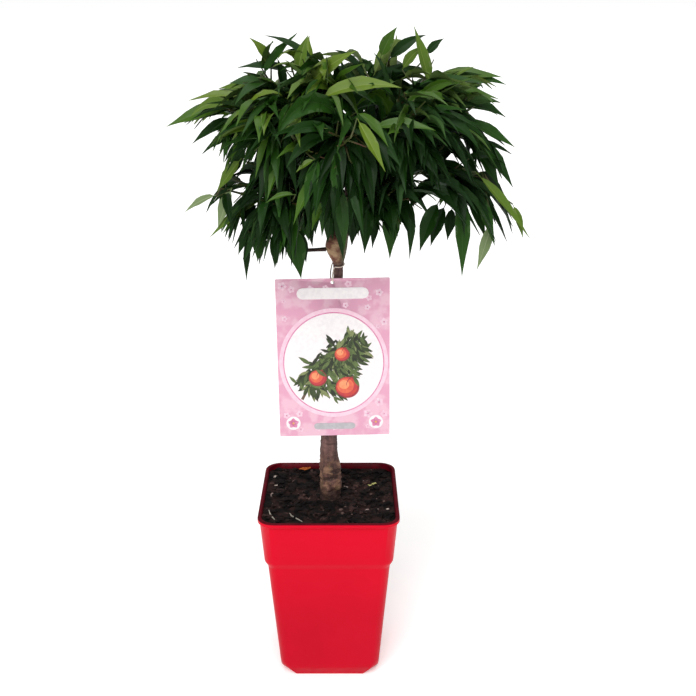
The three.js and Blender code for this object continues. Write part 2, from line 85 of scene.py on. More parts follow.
# The trunk's centre line and radius: x, y, z, radius.
TRUNK = [
    (0.6, 0, SOIL_TOP + CLEARANCE, 11.2),
    (0.9, 0, 199, 10.9),
    (1.4, 0, 208, 11.9),
    (1.3, 0, 221, 11.4),
    (0.7, 0, 231, 11.6),
    (-0.2, 0, 243, 10),
    (-0.6, 0, 251, 9.4),
    (-0.2, 0, 266, 8.8),
    (2.2, 0, 320, 8),
    (6.4, 0, 385, 6.5),
    (10.2, 0, 438, 4.9),
    (10.5, 0, 457, 4.9),
    (10.2, 0, 463, 6.4),
    (9, 0, 470, 9.6),
    (8.3, 0, 478, 11.5),
    (10, 0, 487, 10.8),
    (15, 0, 497, 8.6),
    (19.6, 0, 510, 7.4),
    (22.5, 0, 530, 6.4),
    (25, 1, 552, 5.4),
    (27, 2, 570, 4),
]

BOUGH_FOOT_SHARE = 0.46
BOUGH_TIP_RADIUS = 2
STEM_TIP_RADIUS = 1.2
TWIG_COUNT = 8
TWIG_LENGTH = 36
TWIG_SPREAD = 0.95
LEAF_LENGTH = 80
LEAF_HALF_WIDTH = 0.115
OUTWARD = 0.35
FIRST_SEED = 41
# Each bough and its mass of foliage: name, foot, tip, arch, hang.
MASSES = [
    ("low_left", 496, (-84, -16, 532), 24, 1.3),
    ("low_right", 498, (128, -24, 548), 26, 1.4),
    ("low_front_left", 505, (-46, -62, 530), 16, 1.6),
    ("low_front_right", 507, (62, -68, 534), 16, 1.6),
    ("low_back_left", 509, (-38, 68, 530), 16, 1.4),
    ("low_back_right", 511, (78, 70, 534), 16, 1.4),
    ("front", 517, (16, -98, 592), 18, 1.4),
    ("left", 519, (-94, -4, 612), 12, 1.1),
    ("right", 521, (138, 4, 610), 16, 0.9),
    ("back", 523, (26, 100, 590), 20, 1.3),
    ("front_left", 531, (-48, -62, 604), 14, 1.3),
    ("front_right", 533, (82, -66, 602), 14, 1.3),
    ("back_right", 535, (94, 68, 604), 12, 1.1),
    ("back_left", 537, (-46, 68, 604), 12, 1.1),
    ("upper_right", 547, (94, -8, 630), 4, 0.6),
    ("upper_left", 549, (-56, -8, 632), 4, 0.8),
    ("top_front", 557, (-4, -40, 636), 8, 1),
    ("top_back", 561, (48, 34, 640), 8, 0.9),
]
CREST = 0.45
ENTER = 0.45
SPACE_SHARE = 0.85
SPACE_DROP = 16
# The crown's outline from the front, from its skirt to its top: height, reach to the left and to the right.
CROWN_EDGE = np.array(
    [
        (442, -88, 152),
        (470, -102, 174),
        (492, -116, 207),
        (515, -145, 192),
        (545, -112, 188),
        (577, -126, 188),
        (598, -160, 186),
        (622, -138, 180),
        (643, -98, 174),
        (660, -88, 142),
        (682, -76, 116),
        (694, -40, 92),
    ]
)
CROWN_X = 22
CROWN_DEPTH = 0.86
SKIRT_TILT = 0.27  # how fast the skirt rises to the front
# Where the crown's top sinks, between the upper masses.
SADDLE_X = 24
SADDLE_FALL = 26
SADDLE_HALF_WIDTH = 32
# Where the skirt parts, round the neck and between two masses: x, rise and half width.
PARTINGS = np.array([(-9, 46, 11), (14, 34, 16), (48, 32, 30), (94, 66, 8)])

CARD_WIDTH = 117.2
CARD_HEIGHT = 173.8
CARD_THICKNESS = 0.6
CARD_CORNER = 1
CARD_BACK = -10.6
CARD_TOP = 446.4
CARD_X = 4.5
CARD_TILT = 0.011
CARD_TURN = 0.025
CARD_HOLE_X = 4.5
CARD_HOLE_DROP = 4
CARD_HOLE_RADIUS = 2
TIE_RADIUS = 0.6
TIE_HEIGHT = 458.6
TIE_DIP = 2
TIE_REACH = 6.6
TIE_LIFT = 0.6
TIE_TURN_UP = 1.2
TIE_OVER_CARD = 2
TIE_BACK_SHIFT = 2.6

# ---------------------------------------------------------------- finer sizes of the looks

TWIG_RADIUS = 1.4
TWIG_TAPER = 0.55  # what share of its radius a twig has left at its end
TWIG_TURN = 0.3  # how far chance turns a twig round its stem
TWIG_FALL_OFF = 0.4  # how much shorter the last twigs are
TWIG_RISE = 0.35
TWIG_DROP = 0.3  # how much a hanging mass takes from that rise
LENGTH_SPREAD = (0.8, 1.2)
SIDE_TWIG_AT = 0.55  # where a twig's side shoot leaves it
SIDE_TWIG_LENGTH = 24
SIDE_TWIG_RADIUS = 0.9
SIDE_LEAF_SIZE = 0.85
TWIG_NODES = 6
SIDE_NODES = 3
TUFT_NODES = 9
TUFT_SHARE = 0.25
LEAF_TRIES = 8
LEAF_AIR = 3  # the least air between a leaf's middle and the limbs
INNER_NODES = 20  # leaves on the shaded part of each limb, from here to its twigs
INNER_START = 0.14
INNER_END = 0.95
INNER_SIZE = 0.9
INNER_SLACK = 52
INNER_SHADE = 0.34  # how much painted shade darkens them
SKIRT_INSET = 10  # how far above its lower edge most leaves end
EDGE_INSET = 10  # how far most leaves stay within the crown's outline, which the leading leaves draw
WALL_SLACK = 14  # how far leaves reach past the walls between the masses, where they interlace
LEAF_THICKNESS = 0.3
LEAST_HALF_WIDTH = 5.5
RIB_HALF_WIDTH = 0.5
LEADING_FACE = 0.9  # how strongly the leading leaves face the front
LEADING_TRIES = 6
SHOOT_SAG = 0.15  # how far the shoots that carry them sag, as a share of their length
SHOOT_RADII = (1.1, 0.7)
# Leaves that draw the crown's outline and stand out on its face, by mass: root, tip, half width and shade.
LEADING = {
    "low_left": [
        ((-108, -24, 534), (-140, -26, 517), 4.5, "pale"),
        ((-83, -20, 569), (-108, -24, 537), 7, "light"),
        ((-92, -30, 542), (-107, -34, 503), 7, "pale"),
        ((-64, -30, 518), (-80, -32, 490), 6, "deep"),
        ((-67, -28, 526), (-86, -30, 504), 5, "deep"),
        ((-99, -18, 548), (-105, -22, 496), 4.5, "dark"),
        ((-70, -30, 508), (-88, -34, 476), 7, "dark"),
        ((-76, -34, 499), (-80, -40, 451), 4, "deep"),
        ((-63, -40, 508), (-68, -46, 472), 8.5, "green"),
        ((-55, -30, 538), (-116, -34, 493), 6.5, "light"),
        ((-63, -30, 540), (-103, -34, 497), 6.5, "bright"),
    ],
    "low_right": [
        ((118, -10, 579), (152, -14, 546), 7, "dark"),
        ((123, -30, 561), (109, -34, 524), 6.5, "bright"),
        ((110, -20, 596), (140, -24, 556), 7, "dark"),
        ((110, -30, 552), (78, -34, 520), 9, "dark"),
        ((131, -14, 590), (106, -18, 557), 7.5, "deep"),
        ((109, -40, 532), (90, -46, 482), 8.5, "dark"),
        ((115, -36, 527), (101, -40, 486), 7, "deep"),
        ((122, -30, 524), (118, -32, 490), 6, "deep"),
        ((128, -40, 545), (131, -56, 459), 8.5, "green"),
        ((162, -30, 510), (148, -34, 461), 6.5, "pale"),
        ((135, -26, 539), (156, -32, 491), 6.5, "dark"),
        ((143, -30, 542), (164, -40, 486), 7, "green"),
        ((143, -34, 558), (198, -44, 494), 6.5, "light"),
        ((180, -34, 527), (191, -40, 494), 4, "light"),
    ],
    "low_front_left": [
        ((-24, -22, 521), (-15, -22, 481), 5.5, "deep"),
        ((-9, -22, 524), (-19, -22, 489), 5.5, "dark"),
        ((3, -26, 516), (0, -24, 486), 5, "dark"),
        ((0, -96, 542), (-13, -98, 514), 5, "bright"),
        ((-27, -100, 548), (-54, -104, 541), 3.5, "bright"),
        ((-53, -44, 502), (-51, -50, 466), 5.5, "dark"),
        ((-37, -50, 512), (-25, -58, 458), 10, "green"),
        ((-27, -30, 500), (-21, -32, 467), 5, "deep"),
        ((-33, -28, 516), (-26, -30, 483), 6.5, "dark"),
        ((-27, -24, 522), (-18, -26, 488), 6.5, "green"),
        ((-22, -20, 520), (-14, -22, 492), 5, "deep"),
        ((-38, -30, 508), (-31, -30, 484), 4.5, "deep"),
        ((-12, -24, 528), (-12, -24, 494), 5, "dark"),
        ((-3, -24, 536), (1, -24, 492), 5.5, "green"),
    ],
    "low_front_right": [
        ((20, -26, 520), (25, -26, 485), 7, "deep"),
        ((11, -30, 534), (16, -26, 468), 6, "dark"),
        ((4, -24, 536), (5, -20, 487), 5.5, "dark"),
        ((28, -22, 516), (24, -20, 482), 6, "deep"),
        ((38, -50, 538), (36, -60, 483), 8, "dark"),
        ((50, -40, 520), (44, -42, 484), 4.5, "deep"),
        ((62, -60, 543), (60, -72, 481), 10, "green"),
        ((80, -44, 535), (80, -50, 475), 4.5, "dark"),
        ((65, -40, 538), (72, -42, 507), 4, "dark"),
    ],
    "front": [
        ((28, -112, 617), (53, -126, 572), 6.5, "fresh"),
        ((42, -96, 607), (98, -104, 605), 6.5, "bright"),
        ((-5, -100, 582), (-19, -112, 537), 6.5, "green"),
        ((-2, -98, 572), (-29, -110, 522), 6.5, "bright"),
        ((11, -104, 592), (9, -112, 540), 5.5, "green"),
        ((2, -88, 566), (-4, -86, 505), 7.1, "green"),
        ((10, -84, 558), (17, -80, 492), 7.6, "green"),
        ((29, -100, 572), (28, -102, 531), 6.5, "green"),
        ((-8, -90, 580), (-16, -88, 512), 7.9, "dark"),
    ],
    "left": [
        ((-78, -14, 626), (-133, -16, 623), 6.5, "fresh"),
        ((-84, -10, 621), (-156, -14, 598), 8.7, "bright"),
        ((-86, -4, 616), (-141, -2, 600), 6.6, "green"),
        ((-88, -10, 606), (-132, -12, 581), 6.5, "dark"),
        ((-82, -20, 594), (-121, -24, 573), 6.5, "dark"),
        ((-78, -14, 580), (-97, -18, 546), 6.5, "dark"),
    ],
    "right": [
        ((133, 0, 602), (176, -2, 578), 6, "dark"),
        ((142, -8, 579), (170, -12, 539), 8, "dark"),
        ((148, -2, 584), (183, -4, 570), 3.5, "deep"),
        ((122, 2, 626), (176, 0, 605), 6.7, "dark"),
        ((136, 0, 605), (185, -4, 577), 6.5, "green"),
        ((141, -6, 590), (184, -10, 538), 7.8, "dark"),
    ],
    "front_left": [
        ((-40, -96, 604), (3, -104, 607), 6.5, "light"),
        ((-9, -104, 580), (-26, -108, 569), 3, "light"),
        ((-11, -100, 586), (-36, -104, 587), 4, "light"),
    ],
    "upper_right": [
        ((99, -18, 637), (82, -14, 692), 7, "light"),
        ((95, -14, 631), (140, -22, 655), 6, "light"),
        ((99, -4, 641), (169, -8, 644), 8.1, "bright"),
        ((96, -20, 633), (164, -26, 625), 7.9, "bright"),
        ((73, -30, 632), (124, -44, 591), 7.7, "light"),
        ((72, -10, 651), (93, -14, 673), 5.5, "light"),
        ((126, -6, 642), (173, -8, 637), 5.5, "green"),
    ],
    "upper_left": [
        ((-53, -8, 654), (-73, -14, 681), 6, "fresh"),
        ((-62, -12, 646), (-26, -20, 686), 6.5, "green"),
        ((-33, -6, 649), (-86, -10, 653), 6.5, "dark"),
        ((-60, -20, 641), (-92, -26, 640), 6.5, "green"),
        ((-40, -16, 635), (-47, -20, 662), 5, "deep"),
    ],
    "top_front": [
        ((-9, -24, 656), (-58, -20, 683), 5, "dark"),
        ((-24, -56, 633), (28, -66, 671), 9, "fresh"),
        ((-26, -40, 647), (-16, -34, 684), 6.5, "light"),
        ((-6, -84, 630), (68, -96, 641), 8.7, "fresh"),
        ((-18, -12, 663), (-45, -10, 666), 4, "deep"),
    ],
    "top_back": [
        ((52, 14, 661), (68, 12, 690), 6.5, "bright"),
        ((60, 20, 658), (97, 22, 682), 6, "dark"),
        ((97, 18, 663), (114, 20, 679), 4.5, "dark"),
    ],
}
# Where the sky shows through the crown, seen from the camera: x, z and radius across its middle.
GAPS = np.array(
    [
        (-56, 494, 3.4), (-67, 485, 2.8), (-23, 479, 4), (-7, 486, 5.6), (-78, 514, 5.6),
        (-85, 511, 2.8), (-92, 529, 5.1), (-66, 533, 2.3), (102, 524, 4.5), (110, 530, 4),
        (89, 509, 4.5), (89, 489, 5.6), (90, 468, 6.8), (147, 509, 4.5), (146, 489, 5.6),
        (147, 468, 6.8), (77, 522, 2.3), (-82, 546, 4), (-89, 560, 4), (92, 548, 5.5),
        (121, 568, 4.5), (128, 557, 4), (131, 577, 3.5), (133, 535, 4), (158, 563, 4),
        (163, 586, 4.5), (146, 610, 4.5), (159, 604, 4), (172, 513, 5), (117, 656, 6),
        (-120, 597, 4), (-109, 599, 4), (-52, 647, 4), (-35, 649, 3.5), (75, 495, 4),
        (75, 480, 4), (109, 662, 5), (17, 521, 4), (19, 509, 4), (90, 660, 6),
        (74, 663, 5),
    ]
)

# The camera stands in metres, and its picture is a square of so many pixels.
CAMERA_PLACE = (0.01944, -1.00306, 0.70990)
CAMERA_PITCH = math.radians(18.835)
CAMERA_YAW = math.radians(-0.056)
FOCAL_PIXELS = 1006.2
PICTURE_PIXELS = 696
FLOOR_REACH = 200000
FLOOR_GLOW = 0.25  # lights the floor from below, so that hardly a shadow shows
SKY_LIGHT = 0.4
SKY_BAND = 0.1
SUN_ANGLE = 40
# Each light's height and its bearing from the front, towards the right, in degrees, and its strength.
LIGHTS = {"key": (50, -12, 2.3), "back": (62, 160, 0.5)}

# ---------------------------------------------------------------- chance


def dice(seed):
    """Park and Miller's generator, so that everything grows the same way each time."""
    state = seed * 48271 % 2147483647

    def roll(low, high):
        nonlocal state
        state = state * 16807 % 2147483647
        return low + (high - low) * state / 2147483647

    return roll


# ---------------------------------------------------------------- materials


def linear(colour):
    """A hex colour as the linear numbers that shaders take."""
    shares = [int(colour[i : i + 2], 16) / 255 for i in (0, 2, 4)]
    return (*[s / 12.92 if s <= 0.04045 else ((s + 0.055) / 1.055) ** 2.4 for s in shares], 1)


class Look:
    """A material whose colour, roughness and relief are built up from patterns in the object's own space."""

    def __init__(self, name, colour, roughness, sheen):
        self.material = bpy.data.materials.new(name)
        self.material.use_nodes = True
        self.tree = self.material.node_tree
        self.shader = self.tree.nodes["Principled BSDF"]
        self.shader.inputs["Base Color"].default_value = linear(colour)
        self.shader.inputs["Roughness"].default_value = roughness
        self.shader.inputs["Specular IOR Level"].default_value = sheen
        self.place = self.tree.nodes.new("ShaderNodeTexCoord").outputs["Object"]
        self.relief = None

    def node(self, kind, *inputs, **settings):
        made = self.tree.nodes.new(kind)
        for name, value in settings.items():
            setattr(made, name, value)
        for at, value in enumerate(inputs):
            if value is None:
                continue
            if isinstance(value, bpy.types.NodeSocket):
                self.tree.links.new(value, made.inputs[at])
            else:
                made.inputs[at].default_value = value
        return made

    def stretched(self, scale):
        return self.node("ShaderNodeMapping", self.place, None, None, scale).outputs[0]

    def noise(self, scale, detail=4, roughness=0.55, stretch=None):
        place = self.stretched(stretch) if stretch else self.place
        made = self.node("ShaderNodeTexNoise", place)
        made.inputs["Scale"].default_value = scale
        made.inputs["Detail"].default_value = detail
        made.inputs["Roughness"].default_value = roughness
        return made.outputs["Fac"]

    def cells(self, scale, stretch):
        made = self.node("ShaderNodeTexVoronoi", self.stretched(stretch))
        made.inputs["Scale"].default_value = scale
        return made.outputs["Distance"]

    def along(self, axis):
        return self.node("ShaderNodeSeparateXYZ", self.place).outputs[axis]

    def math(self, operation, *values):
        return self.node("ShaderNodeMath", *values, operation=operation).outputs[0]

    def fade(self, value, low, high, start=0.0, end=1.0):
        """start below low, end above high and a smooth change between them."""
        made = self.node("ShaderNodeMapRange", value, low, high, start, end)
        made.interpolation_type = "SMOOTHSTEP"
        return made.outputs[0]

    def mix(self, share, first, second, kind="MIX"):
        made = self.node("ShaderNodeMix", data_type="RGBA", blend_type=kind)
        for name, value in (("Factor", share), ("A", first), ("B", second)):
            socket = next(s for s in made.inputs if s.name == name and (name == "Factor" or s.type == "RGBA"))
            if isinstance(value, bpy.types.NodeSocket):
                self.tree.links.new(value, socket)
            else:
                socket.default_value = linear(value) if isinstance(value, str) else value
        return next(s for s in made.outputs if s.type == "RGBA")

    def colour(self, socket):
        self.tree.links.new(socket, self.shader.inputs["Base Color"])

    def roughness(self, socket):
        self.tree.links.new(socket, self.shader.inputs["Roughness"])

    def bump(self, height, distance, strength=1.0):
        made = self.node("ShaderNodeBump", strength, distance)
        self.tree.links.new(height, made.inputs["Height"])
        if self.relief:
            self.tree.links.new(self.relief, made.inputs["Normal"])
        self.relief = made.outputs[0]
        self.tree.links.new(self.relief, self.shader.inputs["Normal"])


# How a material of two tones is finished: the scale and detail of its patches and where they fade, its
# roughness and sheen, and the scale, detail, depth and strength of its relief.
FINISHES = {
    "pot rim": ((90, 4, 0.4, 0.7), 0.5, 0.06, (700, 2, 0.00006, 0.5)),
    "pot inside": ((140, 4, 0.4, 0.75), 0.5, 0.15, (700, 2, 0.00006, 0.5)),
    "stub": ((300, 4, 0.4, 0.7), 0.8, 0.25, (500, 4, 0.0006, 0.7)),
    "wood": ((260, 3, 0.4, 0.7), 0.7, 0.3, (600, 3, 0.0003, 0.5)),
    "shoot": ((45, 3, 0.48, 0.68), 0.5, 0.4, (500, 3, 0.0003, 0.5)),
    "card": ((70, 2, 0.42, 0.6), 0.32, 0.5, (30, 2, 0.0006, 0.3)),
    "card back": ((60, 3, 0.4, 0.65), 0.5, 0.4, (30, 2, 0.0006, 0.3)),
    "print": ((220, 3, 0.35, 0.65), 0.34, 0.5, None),
    "cord": ((300, 2, 0.4, 0.65), 0.5, 0.5, (1500, 2, 0.0001, 0.6)),
    "bit": ((500, 3, 0.4, 0.65), 0.85, 0.25, (900, 3, 0.0004, 0.7)),
    "floor": ((1.5, 2, 0.4, 0.65), 0.85, 0.1, None),
}


def two_tone(name, finish, first, second, colour=None):
    """A material of two tones in soft patches. Its plain colour is the first tone unless another is given."""
    (scale, detail, low, high), roughness, sheen, relief = FINISHES[finish]
    look = Look(name, colour or first, roughness, sheen)
    look.colour(look.mix(look.fade(look.noise(scale, detail), low, high), first, second))
    if relief:
        scale, detail, depth, strength = relief
        look.bump(look.noise(scale, detail), depth, strength)
    return look.material


def pot_look():
    """Glossy crimson, darker towards the foot as painted shade, with faint clouds and upright scuffs."""
    look = Look("crimson pot plastic", "d0031f", 0.42, 0.08)
    clouds = look.noise(9, 3)
    patches = look.fade(clouds, 0.35, 0.7)
    # Painted shade: the crimson darkens towards the pot's foot.
    low = look.mix(patches, "b6021f", "be0322")
    high = look.mix(patches, "ce0223", "d60326")
    look.colour(look.mix(look.fade(look.along(2), 0.02, 0.18), low, high))
    scuffs = look.noise(60, 5, 0.6, stretch=(1, 1, 0.15))
    look.roughness(look.fade(scuffs, 0.35, 0.75, 0.3, 0.46))
    look.bump(look.noise(700, 2), 0.00006, 0.5)
    look.bump(clouds, 0.0016, 0.35)
    return look.material


def damp_patches(look):
    """Where the soil is dry, between dark damp patches; the crumbs on it follow the same patches."""
    return look.fade(look.noise(95, 3, 0.5), 0.4, 0.6)


def soil_look():
    look = Look("moist peat", "1c1211", 0.9, 0.12)
    grain = look.noise(420, 6, 0.7)
    patches = damp_patches(look)
    earth = look.mix(patches, "080404", "2e1f1c")
    look.colour(look.mix(look.fade(grain, 0.55, 0.82), earth, "3a2a28"))
    look.roughness(look.fade(patches, 0, 1, 0.75, 0.98))
    look.bump(grain, 0.0012, 0.9)
    return look.material


def bark_look():
    """Mauve brown bark with olive patches, stained by the soil at its foot and tan on the swollen graft."""
    look = Look("peach bark", "6a4d49", 0.74, 0.35)
    height = look.along(2)
    streaks = look.noise(120, 5, 0.6, stretch=(1, 1, 0.22))
    patches = look.noise(55, 4, 0.6, stretch=(1, 1, 0.5))
    blots = look.noise(95, 3, 0.5)
    specks = look.cells(330, stretch=(1, 1, 2.6))
    base = look.mix(look.fade(streaks, 0.3, 0.7), "3d2829", "7d5c58")
    olive = look.mix(look.fade(patches, 0.55, 0.7), base, "7c6a4c")
    plum = look.mix(look.fade(patches, 0.3, 0.45, 1, 0), olive, "4a2f33")
    tan = look.mix(look.fade(blots, 0.47, 0.62), plum, "9c7a6a")
    creases = look.noise(85, 3, 0.5, stretch=(0.7, 0.7, 2.2))
    # Painted shade: the bark darkens where its creases sink, at the foot and in bands above.
    painted_crease_shade = look.mix(look.fade(creases, 0.36, 0.46, 0.8, 0), tan, "2c1a18")
    painted_band_shade = look.mix(look.fade(creases, 0.36, 0.44, 0.5, 0), plum, "33201f")
    wrinkled = look.mix(look.fade(height, 0.23, 0.25, 1, 0), painted_band_shade, painted_crease_shade)
    knob = look.mix(look.fade(blots, 0.42, 0.62), "6b4031", "a08263")
    knob = look.mix(look.fade(look.along(0), 0.009, 0.016), knob, "4a4326")
    # Darker low on the trunk, up to just below the card.
    darker_low = look.mix(look.fade(height, 0.235, 0.27, 0.8, 0), wrinkled, "d9cdb9", "MULTIPLY")
    graft = look.mix(look.fade(height, 0.456, 0.466), darker_low, knob)
    leader = look.mix(look.fade(height, 0.484, 0.494), graft, "33201a")
    stained = look.mix(look.fade(height, 0.198, 0.212, 0.85, 0), leader, "2a1a17")
    look.colour(look.mix(look.fade(specks, 0.08, 0.2, 0.5, 0), stained, "a58b74"))
    look.roughness(look.fade(streaks, 0.3, 0.7, 0.62, 0.88))
    look.bump(streaks, 0.0012, 0.8)
    look.bump(specks, 0.0005, 0.5)
    look.bump(creases, 0.003, 0.9)
    return look.material


LEAF_VEINS = 16
VEIN_SLANT = 5


def leaf_look(name, colour, sheen, roughness, relief):
    """One plain colour with side veins in relief. u runs over the blade, with its rib at 0.5, and v up it."""
    look = Look(name, colour, roughness, sheen)
    place = look.node("ShaderNodeUVMap", uv_map="blade").outputs[0]
    across, up, _ = look.node("ShaderNodeSeparateXYZ", place).outputs
    off_rib = look.math("ABSOLUTE", look.math("SUBTRACT", across, 0.5))
    slant = look.math("MULTIPLY", off_rib, VEIN_SLANT)
    rows = look.math("SUBTRACT", look.math("MULTIPLY", up, LEAF_VEINS), slant)
    veins = look.fade(look.math("SINE", look.math("MULTIPLY", rows, TURN)), 0.6, 1.0)
    look.roughness(look.fade(look.noise(38, 3), 0.3, 0.7, roughness - 0.06, roughness + 0.08))
    look.bump(veins, 0.0004, relief)
    look.bump(look.noise(90, 2), 0.0012, 0.25)
    return look.material


def crumb_look(name, first, second):
    """Crumbs of two tones, with darker clouds, and nearly black where the soil is damp."""
    look = Look(name, first, 0.9, 0.2)
    crumbs = look.mix(look.fade(look.noise(500, 3), 0.4, 0.65), first, second)
    clouded = look.mix(look.fade(look.noise(38, 3), 0.45, 0.62, 0.75, 0), crumbs, "0b0606")
    look.colour(look.mix(damp_patches(look), "080404", clouded))
    look.bump(look.noise(900, 3), 0.0006, 0.8)
    return look.material


def floor_look():
    floor = two_tone("pale floor", "floor", "fafaf9", "fcfcfb", "fbfbfa")
    shader = floor.node_tree.nodes["Principled BSDF"]
    shader.inputs["Emission Color"].default_value = (1, 1, 1, 1)
    shader.inputs["Emission Strength"].default_value = FLOOR_GLOW
    return floor


# ---------------------------------------------------------------- meshes


def evenly(first, last, count):
    """Even steps from the first value to the last."""
    return [first + (last - first) * (i / count) for i in range(count + 1)]


def shown(name, data):
    """An object of the scene with that data."""
    made = bpy.data.objects.new(name, data)
    bpy.context.scene.collection.objects.link(made)
    return made


def as_drawn(held):
    """A new mesh of an object as its curve or modifiers draw it."""
    bpy.context.view_layer.update()
    return bpy.data.meshes.new_from_object(held.evaluated_get(bpy.context.evaluated_depsgraph_get()))


def add_piece(name, points, faces, slots, looks, sharp):
    """A smooth mesh from points in millimetres, creased where its faces meet at more than that angle."""
    mesh = bpy.data.meshes.new(name)
    mesh.from_pydata((np.array(points, float) * MM).tolist(), [], faces)
    for look in looks:
        mesh.materials.append(look)
    mesh.polygons.foreach_set("material_index", slots)
    mesh.polygons.foreach_set("use_smooth", [True] * len(faces))
    mesh.set_sharp_from_angle(angle=math.radians(sharp))
    return shown(name, mesh)


class Shape:
    """Points in millimetres, faces and the material slot of each face, gathered for one piece."""

    def __init__(self):
        self.points = []
        self.faces = []
        self.slots = []

    def add(self, points, faces, slot=0):
        start = len(self.points)
        self.points += [tuple(p) for p in points]
        self.faces += [tuple(start + i for i in face) for face in faces]
        self.slots += [slot] * len(faces)

    def skin(self, rings, slot=0):
        """Rows of quads between rings with as many points each, and a face on each end."""
        count = len(rings[0])
        faces = []
        for band in range(len(rings) - 1):
            low, high = band * count, (band + 1) * count
            for i in range(count):
                j = (i + 1) % count
                faces.append((low + i, low + j, high + j, high + i))
        last = (len(rings) - 1) * count
        faces.append(tuple(reversed(range(count))))
        faces.append(tuple(range(last, last + count)))
        self.add([p for ring in rings for p in ring], faces, slot)

    def piece(self, name, looks, sharp=40):
        return add_piece(name, self.points, self.faces, self.slots, looks, sharp)


def disc(x, y, radius, count=48, squeeze=1.0):
    """Points round a middle, stretched by the squeeze along the second axis."""
    angles = [k * TURN / count for k in range(count)]
    return [(x + radius * math.cos(a), y + radius * squeeze * math.sin(a)) for a in angles]


def level_side(direction):
    side = direction.cross(UP)
    return side.normalized() if side.length_squared > 1e-4 else Vector((1, 0, 0))


def square(direction, angle):
    """A unit vector square to the direction, at that angle round it."""
    side = level_side(direction)
    over = direction.cross(side).normalized()
    return side * math.cos(angle) + over * math.sin(angle)


WOBBLE_SCALE = 0.35


def tube(shape, line, radii, sides, slot=0, wobble=0.0):
    """A limb along a line, round but for its wobble."""
    after, before = line[1:] + line[-1:], line[:1] + line[:-1]
    headings = [(b - a).normalized() for a, b in zip(before, after)]
    side = level_side(headings[0])
    rings = []
    for point, heading, radius in zip(line, headings, radii):
        side = (side - heading * side.dot(heading)).normalized()
        over = heading.cross(side)
        ring = []
        for across, up in disc(0, 0, 1, sides):
            out = side * across + over * up
            swell = 1 + wobble * noise.noise((point + out * radius * 2) * WOBBLE_SCALE)
            ring.append(point + out * radius * swell)
        rings.append(ring)
    shape.skin(rings, slot)


# ---------------------------------------------------------------- pot


def pot_ring(z, half, corner, roundness, steps=12):
    """A square ring round the pot at a height, its corners between flat cuts and arcs."""
    ring = []
    for quarter in range(4):
        turn = Matrix.Rotation(quarter * TURN / 4, 3, "Z")
        for share in evenly(0, 1, steps):
            angle = share * TURN / 4
            flat = Vector((half - corner * share, half - corner * (1 - share), z))
            arc = Vector((half - corner * (1 - math.cos(angle)), half - corner * (1 - math.sin(angle)), z))
            ring.append(turn @ flat.lerp(arc, roundness))
    return ring


def body_at(z):
    """The pot body's section at a height, and above its last one as if it ran straight on."""
    upper = next((i for i, row in enumerate(POT_BODY) if row[0] >= z), len(POT_BODY) - 1)
    low, high = POT_BODY[max(upper, 1) - 1], POT_BODY[max(upper, 1)]
    share = (z - low[0]) / (high[0] - low[0])
    return [a + (b - a) * share for a, b in zip(low, high)]


def body_profile(start, soften=1.6):
    """The body's sections from a height up, with each crease rounded off over a short way."""
    rows = [body_at(start)]
    for z in [row[0] for row in POT_BODY[1:-1] if row[0] > start]:
        reach = min(soften, (z - start) / 2)
        below, at, above = body_at(z - reach), body_at(z), body_at(z + reach)
        middle = [(a + 2 * b + c) / 4 for a, b, c in zip(below, at, above)]
        rows += [below, middle, above]
    rows.append(list(POT_BODY[-1]))
    return rows


def inset_ring(section, inset, steps=12):
    """The ring of a section of the pot's body, drawn in by that much."""
    z, half, corner, roundness = section
    return pot_ring(z, half - inset, corner - (2 - math.sqrt(2)) * inset, roundness, steps)


def make_pot():
    outside = [pot_ring(*row) for row in body_profile(0)]
    rim = [pot_ring(POT_HEIGHT - drop, LIP_HALF - less, LIP_CORNER - cut, 1) for drop, less, cut in LIP]
    inside = [inset_ring(row, POT_WALL) for row in reversed(body_profile(POT_FLOOR))]
    shape = Shape()
    shape.skin(outside + rim + inside)
    around = len(outside[0])
    topped = (len(outside) + LIP_TOP) * around
    lined = (len(outside) + len(rim) - 1) * around
    # Painted shade: the lip's top and the inside wall take darker crimson slots of the same plastic.
    shape.slots[topped:lined] = [2] * (lined - topped)
    shape.slots[lined:-2] = [1] * (len(shape.slots) - lined - 2)
    painted_shade_inside = two_tone("shaded pot plastic", "pot inside", "6a0418", "4a0a12")
    edge = two_tone("pot rim in painted shade", "pot rim", "5e0416", "480310", "5a0414")
    pot = shape.piece("pot_shell", [pot_look(), painted_shade_inside, edge], sharp=50)
    drains = Shape()
    for x in (-DRAIN_SPACING, DRAIN_SPACING):
        for y in (-DRAIN_SPACING, DRAIN_SPACING):
            hole = disc(x, y, DRAIN_RADIUS, 24)
            drains.skin([[(*spot, z) for spot in hole] for z in (-POT_FLOOR * 2, POT_FLOOR * 4)])
    cut_through(pot, drains.piece("drains", []))
    return pot


def cut_through(target, cutter):
    """Cuts one piece out of another and removes it."""
    cut = target.modifiers.new("cut", "BOOLEAN")
    cut.operation = "DIFFERENCE"
    cut.object = cutter
    cut.solver = "EXACT"
    cleared = as_drawn(target)
    target.modifiers.clear()
    target.data = cleared
    bpy.data.objects.remove(cutter)


# ---------------------------------------------------------------- soil

